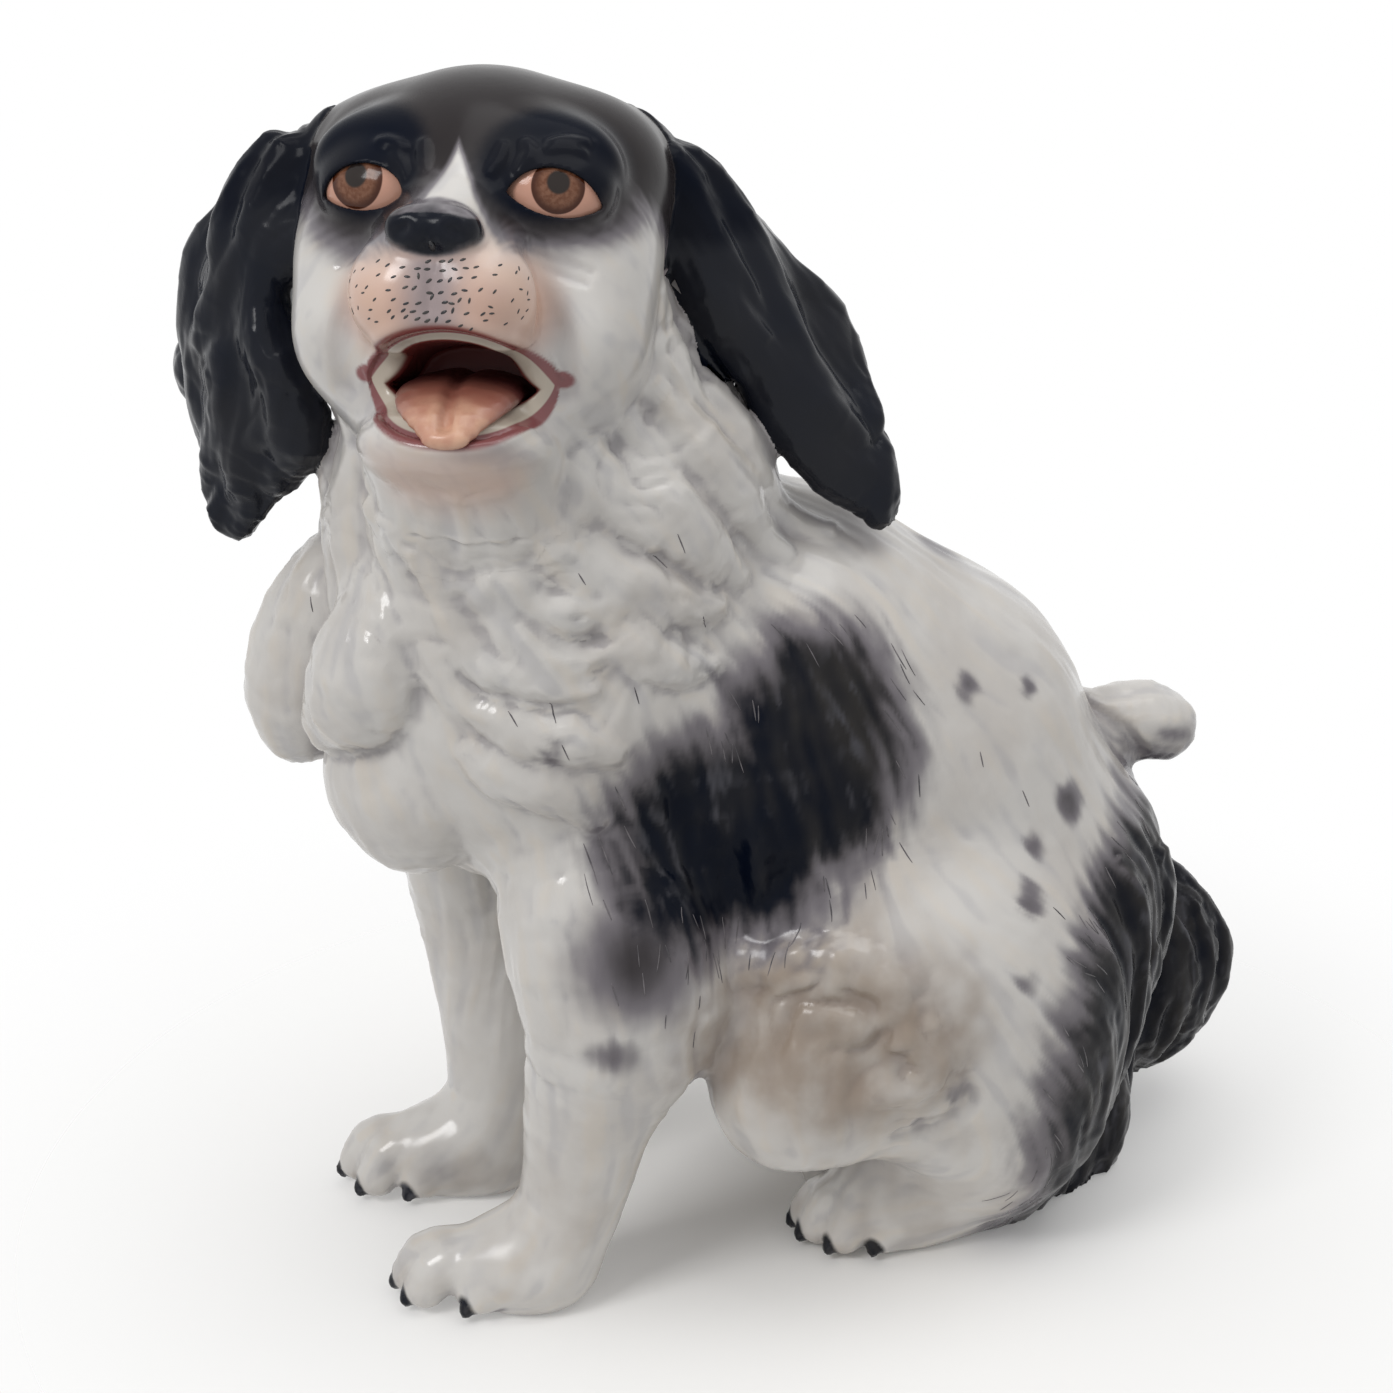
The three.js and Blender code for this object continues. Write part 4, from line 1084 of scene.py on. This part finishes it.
for skin in skins:
    near, quads = skin["near"].copy(), skin["quads"]
    # each skin keeps to its own nodes
    near[:, [(k in headNodes) != (skin["name"] == "head") for k in range(len(nodes))]] = 99.0
    kept = skin["past"] < sculpt["overlap"]
    owner = near.argmin(axis=1)
    spread = np.stack([relax((owner == k).astype(float), skin["edges"], 8) for k in range(len(nodes))],
                      axis=1)
    owner = spread.argmax(axis=1)
    faceOwner = np.where(kept[quads].all(axis=1), owner[quads[:, 0]], -1)
    for k, node in enumerate(nodes):
        mine = quads[faceOwner == k]
        if not len(mine):
            continue
        used, mine = np.unique(mine, return_inverse=True)
        mine = mine.reshape(-1, 4)
        points, normals = skin["points"][used], skin["normals"][used]
        added, inward, skirts, fans = closeLoops(points, mine, normals)
        attributes = {key: np.concatenate([values[used], np.full(len(added), values[used].mean())])
                      for key, values in skin["paint"].items()}
        piece = makeMesh(node + "_porcelain", np.vstack([points, added]),
                         [f for f in (mine, skirts, fans) if len(f)],
                         np.vstack([normals, inward]), attributes, coatMaterial)
        settle(piece, node)
        print("piece", node, len(mine), "faces", len(fans), "closing")
enamels = (
    ("whisker_dashes", whiskers, "black overglaze enamel", "#1a1a1f", "#37332f"),
    ("brush_strokes", strokes, "thin grey overglaze enamel", "#3c393d", "#6d686b"))
for name, rows, finish, dark, pale in enamels:
    # Enamel from a nearly dry brush: a thin line that breaks into paler stretches of 4 mm
    strokeMaterial, tree = newMaterial(finish)
    place = addNode(tree, "TexCoord", out="Object")
    thin = addNode(tree, "TexNoise", {"Vector": place, "Scale": 1 / (3.846 * mm), "Detail": 2.0})
    glaze(tree, layPaint(tree, toLinear(dark), [(pale, thin, 0.35, 0.65)]), 0.35)
    strokePoints, strokeFaces = drawStrokes(rows)
    piece = makeMesh(name, strokePoints, [strokeFaces], None, {}, strokeMaterial)
    settle(piece)


def ovalMesh(rings, spokes):
    # Unit ball with its pole to the front
    v = np.linspace(0, math.pi, rings + 1)[1:-1]
    u = np.linspace(0, 2 * math.pi, spokes, endpoint=False)
    ring = np.stack([np.outer(np.sin(v), np.cos(u)), np.repeat(-np.cos(v)[:, None], spokes, axis=1),
                     np.outer(np.sin(v), np.sin(u))], -1)
    points = np.vstack([[[0, -1, 0]], ring.reshape(-1, 3), [[0, 1, 0]]])
    k = np.arange(spokes)
    n = (k + 1) % spokes
    quads = np.concatenate([np.stack([1 + r * spokes + k, 1 + r * spokes + n, 1 + (r + 1) * spokes + n,
                                      1 + (r + 1) * spokes + k], 1)
                            for r in range(rings - 2)])
    end = len(points) - 1
    caps = np.concatenate([np.stack([np.zeros_like(k), 1 + n, 1 + k], 1),
                           np.stack([np.full_like(k, end), end - spokes + k, end - spokes + n], 1)])
    return points, quads, caps


# Eyes: painted brown irises on pink-white balls under a thick glaze
def makeEyePaint():
    material, tree = newMaterial("painted eye under glaze")
    # Distances from the middle, 1 at the edge
    iris, pupil = (addNode(tree, "Attribute", out="Fac", attribute_name=key)
                   for key in ("irisReach", "pupilReach"))
    place = addNode(tree, "TexCoord", out="Object")
    fleck = addNode(tree, "TexNoise", {"Vector": place, "Scale": 1 / (0.714 * mm), "Detail": 3.0})
    paint = layPaint(tree, toLinear("#663e2a"), [
        ("#7e5743", fleck, 0.3, 0.7), ("#45200f", iris, 0.62, 0.94), ("#c79783", iris, 0.98, 1.03),
        ("#2a2320", pupil, 1.12, 0.85)])
    glaze(tree, paint, 0.12, 0.25)
    return material


eyeMaterial = makeEyePaint()
unitPoints, unitQuads, unitCaps = ovalMesh(48, 96)
for one in eyes:
    local = unitPoints * eye["half"]
    behind = np.where(local[:, 1] > 0, 2.0, 0.0)
    across, above = local[:, 0] - one["gaze"][0], local[:, 2] - one["gaze"][1]
    reach = dict(irisReach=np.hypot(across, above) / one["iris"] + behind,
                 pupilReach=np.hypot(across, above - 0.7) / (one["iris"] * eye["pupil"]) + behind)
    piece = makeMesh(one["name"], local @ one["turn"].T + one["at"], [unitQuads, unitCaps], None, reach,
                     eyeMaterial)
    settle(piece)
print("set the eyes")

# Tongue: broad at the root, hanging over the lower lip
tongue = dict(rows=[(1.4, -12, -29.5, 10.8, 3.8), (1.4, -22, -30.2, 10.8, 3.6), (1.6, -30, -31.8, 10.6, 3.3),
                    (2.0, -36, -34.6, 8.0, 2.7), (2.2, -39.6, -38.4, 4.2, 1.9)])


def makeTonguePaint():
    # Peach paint, cream at the tip and blood red to the root, darkest deep in the mouth where it is partly painted
    # shade under the upper lip, with mottles of 3 mm
    material, tree = newMaterial("peach tongue paint under glaze")
    place = addNode(tree, "TexCoord", out="Object")
    mottled = addNode(tree, "TexNoise", {"Vector": place, "Scale": 1 / (3.125 * mm), "Detail": 5.0})
    depth = addNode(tree, "Attribute", out="Fac", attribute_name="depth")
    paint = layPaint(tree, toLinear("#c08c76"), [
        ("#d3a78c", mottled, 0.3, 0.7), ("#965a4c", depth, -39.8, -33.5, 0.0, 0.9),
        ("#4c2524", depth, -36.0, -25.0)])
    glaze(tree, paint, 0.3)
    return material


rows = smoothPath(tongue["rows"], 12)
tongueForm = limb("tongue", fromHead(rows[:, :3]), rows[:, 3:], headTurn @ np.array([1.0, 0, 0]), 1.0)
grid = makeGrid(tongueForm["low"] - 3, tongueForm["high"] + 3, sculpt["headStep"])
press(grid, tongueForm)
crest = rows[:, :3] + [0, -0.6, 0] + np.array([0, 0, 1]) * (rows[:, 4:5] + 0.6)
middleGroove = limb("tongue", fromHead(crest),
                    np.tile([0.9, 1.4], (12, 1)), headTurn @ np.array([1.0, 0, 0]), 2.0, cut=True)
press(grid, middleGroove)
points, quads, normals = castSkin(grid)
points = points + normals * (0.25 * (solidNoise(points, 2.2) - 0.5))[:, None]
piece = makeMesh("tongue_porcelain", points, [quads], None, dict(depth=toHead(points)[:, 1]),
                 makeTonguePaint())
settle(piece, "tongue")
print("laid the tongue")

# Studio: pale floor, soft lamps, white behind
studio = dict(floorSize=3.0, floorColor="#fbfaf8", skyLevel=0.5, fadeFrom=0.0, fadeTo=0.24)


def makeFloor():
    # Matt white paper that fades out into the white behind, so only the shadow of the figure shows
    material, tree = newMaterial("pale studio paper")
    shader = addNode(tree, "BsdfPrincipled", {"Base Color": toLinear(studio["floorColor"]), "Roughness": 0.9})
    place = addNode(tree, "TexCoord", out="Object")
    reach = addNode(tree, "VectorMath", {0: place}, "Value", operation="LENGTH")
    fade = addNode(tree, "MapRange", {0: reach, 1: studio["fadeFrom"], 2: studio["fadeTo"]}, **smooth)
    both = addNode(tree, "MixShader", {0: fade, 1: shader, 2: addNode(tree, "BsdfTransparent")})
    addNode(tree, "OutputMaterial", {"Surface": both})
    bpy.ops.mesh.primitive_plane_add(size=studio["floorSize"], location=(0, 0, -0.0002))
    floor = bpy.context.object
    floor.name = "floor"
    floor.data.materials.append(material)


makeFloor()
world = bpy.context.scene.world or bpy.data.worlds.new("studio")
bpy.context.scene.world = world
world.use_nodes = True
tree = world.node_tree
tree.nodes.clear()
# White where the camera looks, and in the glaze; softer as light
seen = addNode(tree, "LightPath", out="Is Camera Ray")
for ray in ("Is Transmission Ray", "Is Glossy Ray"):
    seen = addNode(tree, "Math", {0: seen, 1: addNode(tree, "LightPath", out=ray)}, operation="MAXIMUM")
level = addNode(tree, "MapRange", {0: seen, 3: studio["skyLevel"], 4: 1.0}, **smooth)
background = addNode(tree, "Background", {"Color": (1, 1, 1, 1), "Strength": level})
addNode(tree, "OutputWorld", {"Surface": background})

lamps = {
    "key softbox": dict(place=(0.5, -0.9, 1.0), aim=(0, 0, 0.12), size=0.45, power=6.5),
    "overhead softbox": dict(place=(0.1, 0.2, 1.2), aim=(0, 0, 0.1), size=0.9, power=4.5),
}


def addLamp(name, place, aim, size, power):
    lamp = bpy.data.lights.new(name, "AREA")
    lamp.size, lamp.energy = size, power
    holder = bpy.data.objects.new(name, lamp)
    place, aim = np.array(place), np.array(aim)
    back = unit(place - aim)
    side = unit(np.cross([0, 0, 1.0], back))
    holder.matrix_world = Matrix(np.column_stack([np.vstack([side, np.cross(back, side), back]).T,
                                                  place]).tolist() + [[0, 0, 0, 1]])
    bpy.context.scene.collection.objects.link(holder)


for name, lamp in lamps.items():
    addLamp(name, **lamp)
print("lit the studio")

# Camera where the photographer stood
view = dict(place=(524.2, -180.5, 340.0), right=(0.309, 0.951, 0.0), look=(-0.882, 0.287, -0.375), lens=77.53)
camera = bpy.data.cameras.new("camera")
camera.lens, camera.sensor_width = view["lens"], 36.0
holder = bpy.data.objects.new("camera", camera)
look = unit(view["look"])
right = unit(np.array(view["right"]) - look * (np.array(view["right"]) @ look))
columns = np.column_stack([right, np.cross(right, look), -look, (np.array(view["place"]) + dogShift) * mm])
holder.matrix_world = Matrix(columns.tolist() + [[0, 0, 0, 1]])
bpy.context.scene.collection.objects.link(holder)
bpy.context.scene.camera = holder
bpy.context.scene.view_settings.view_transform = "Standard"
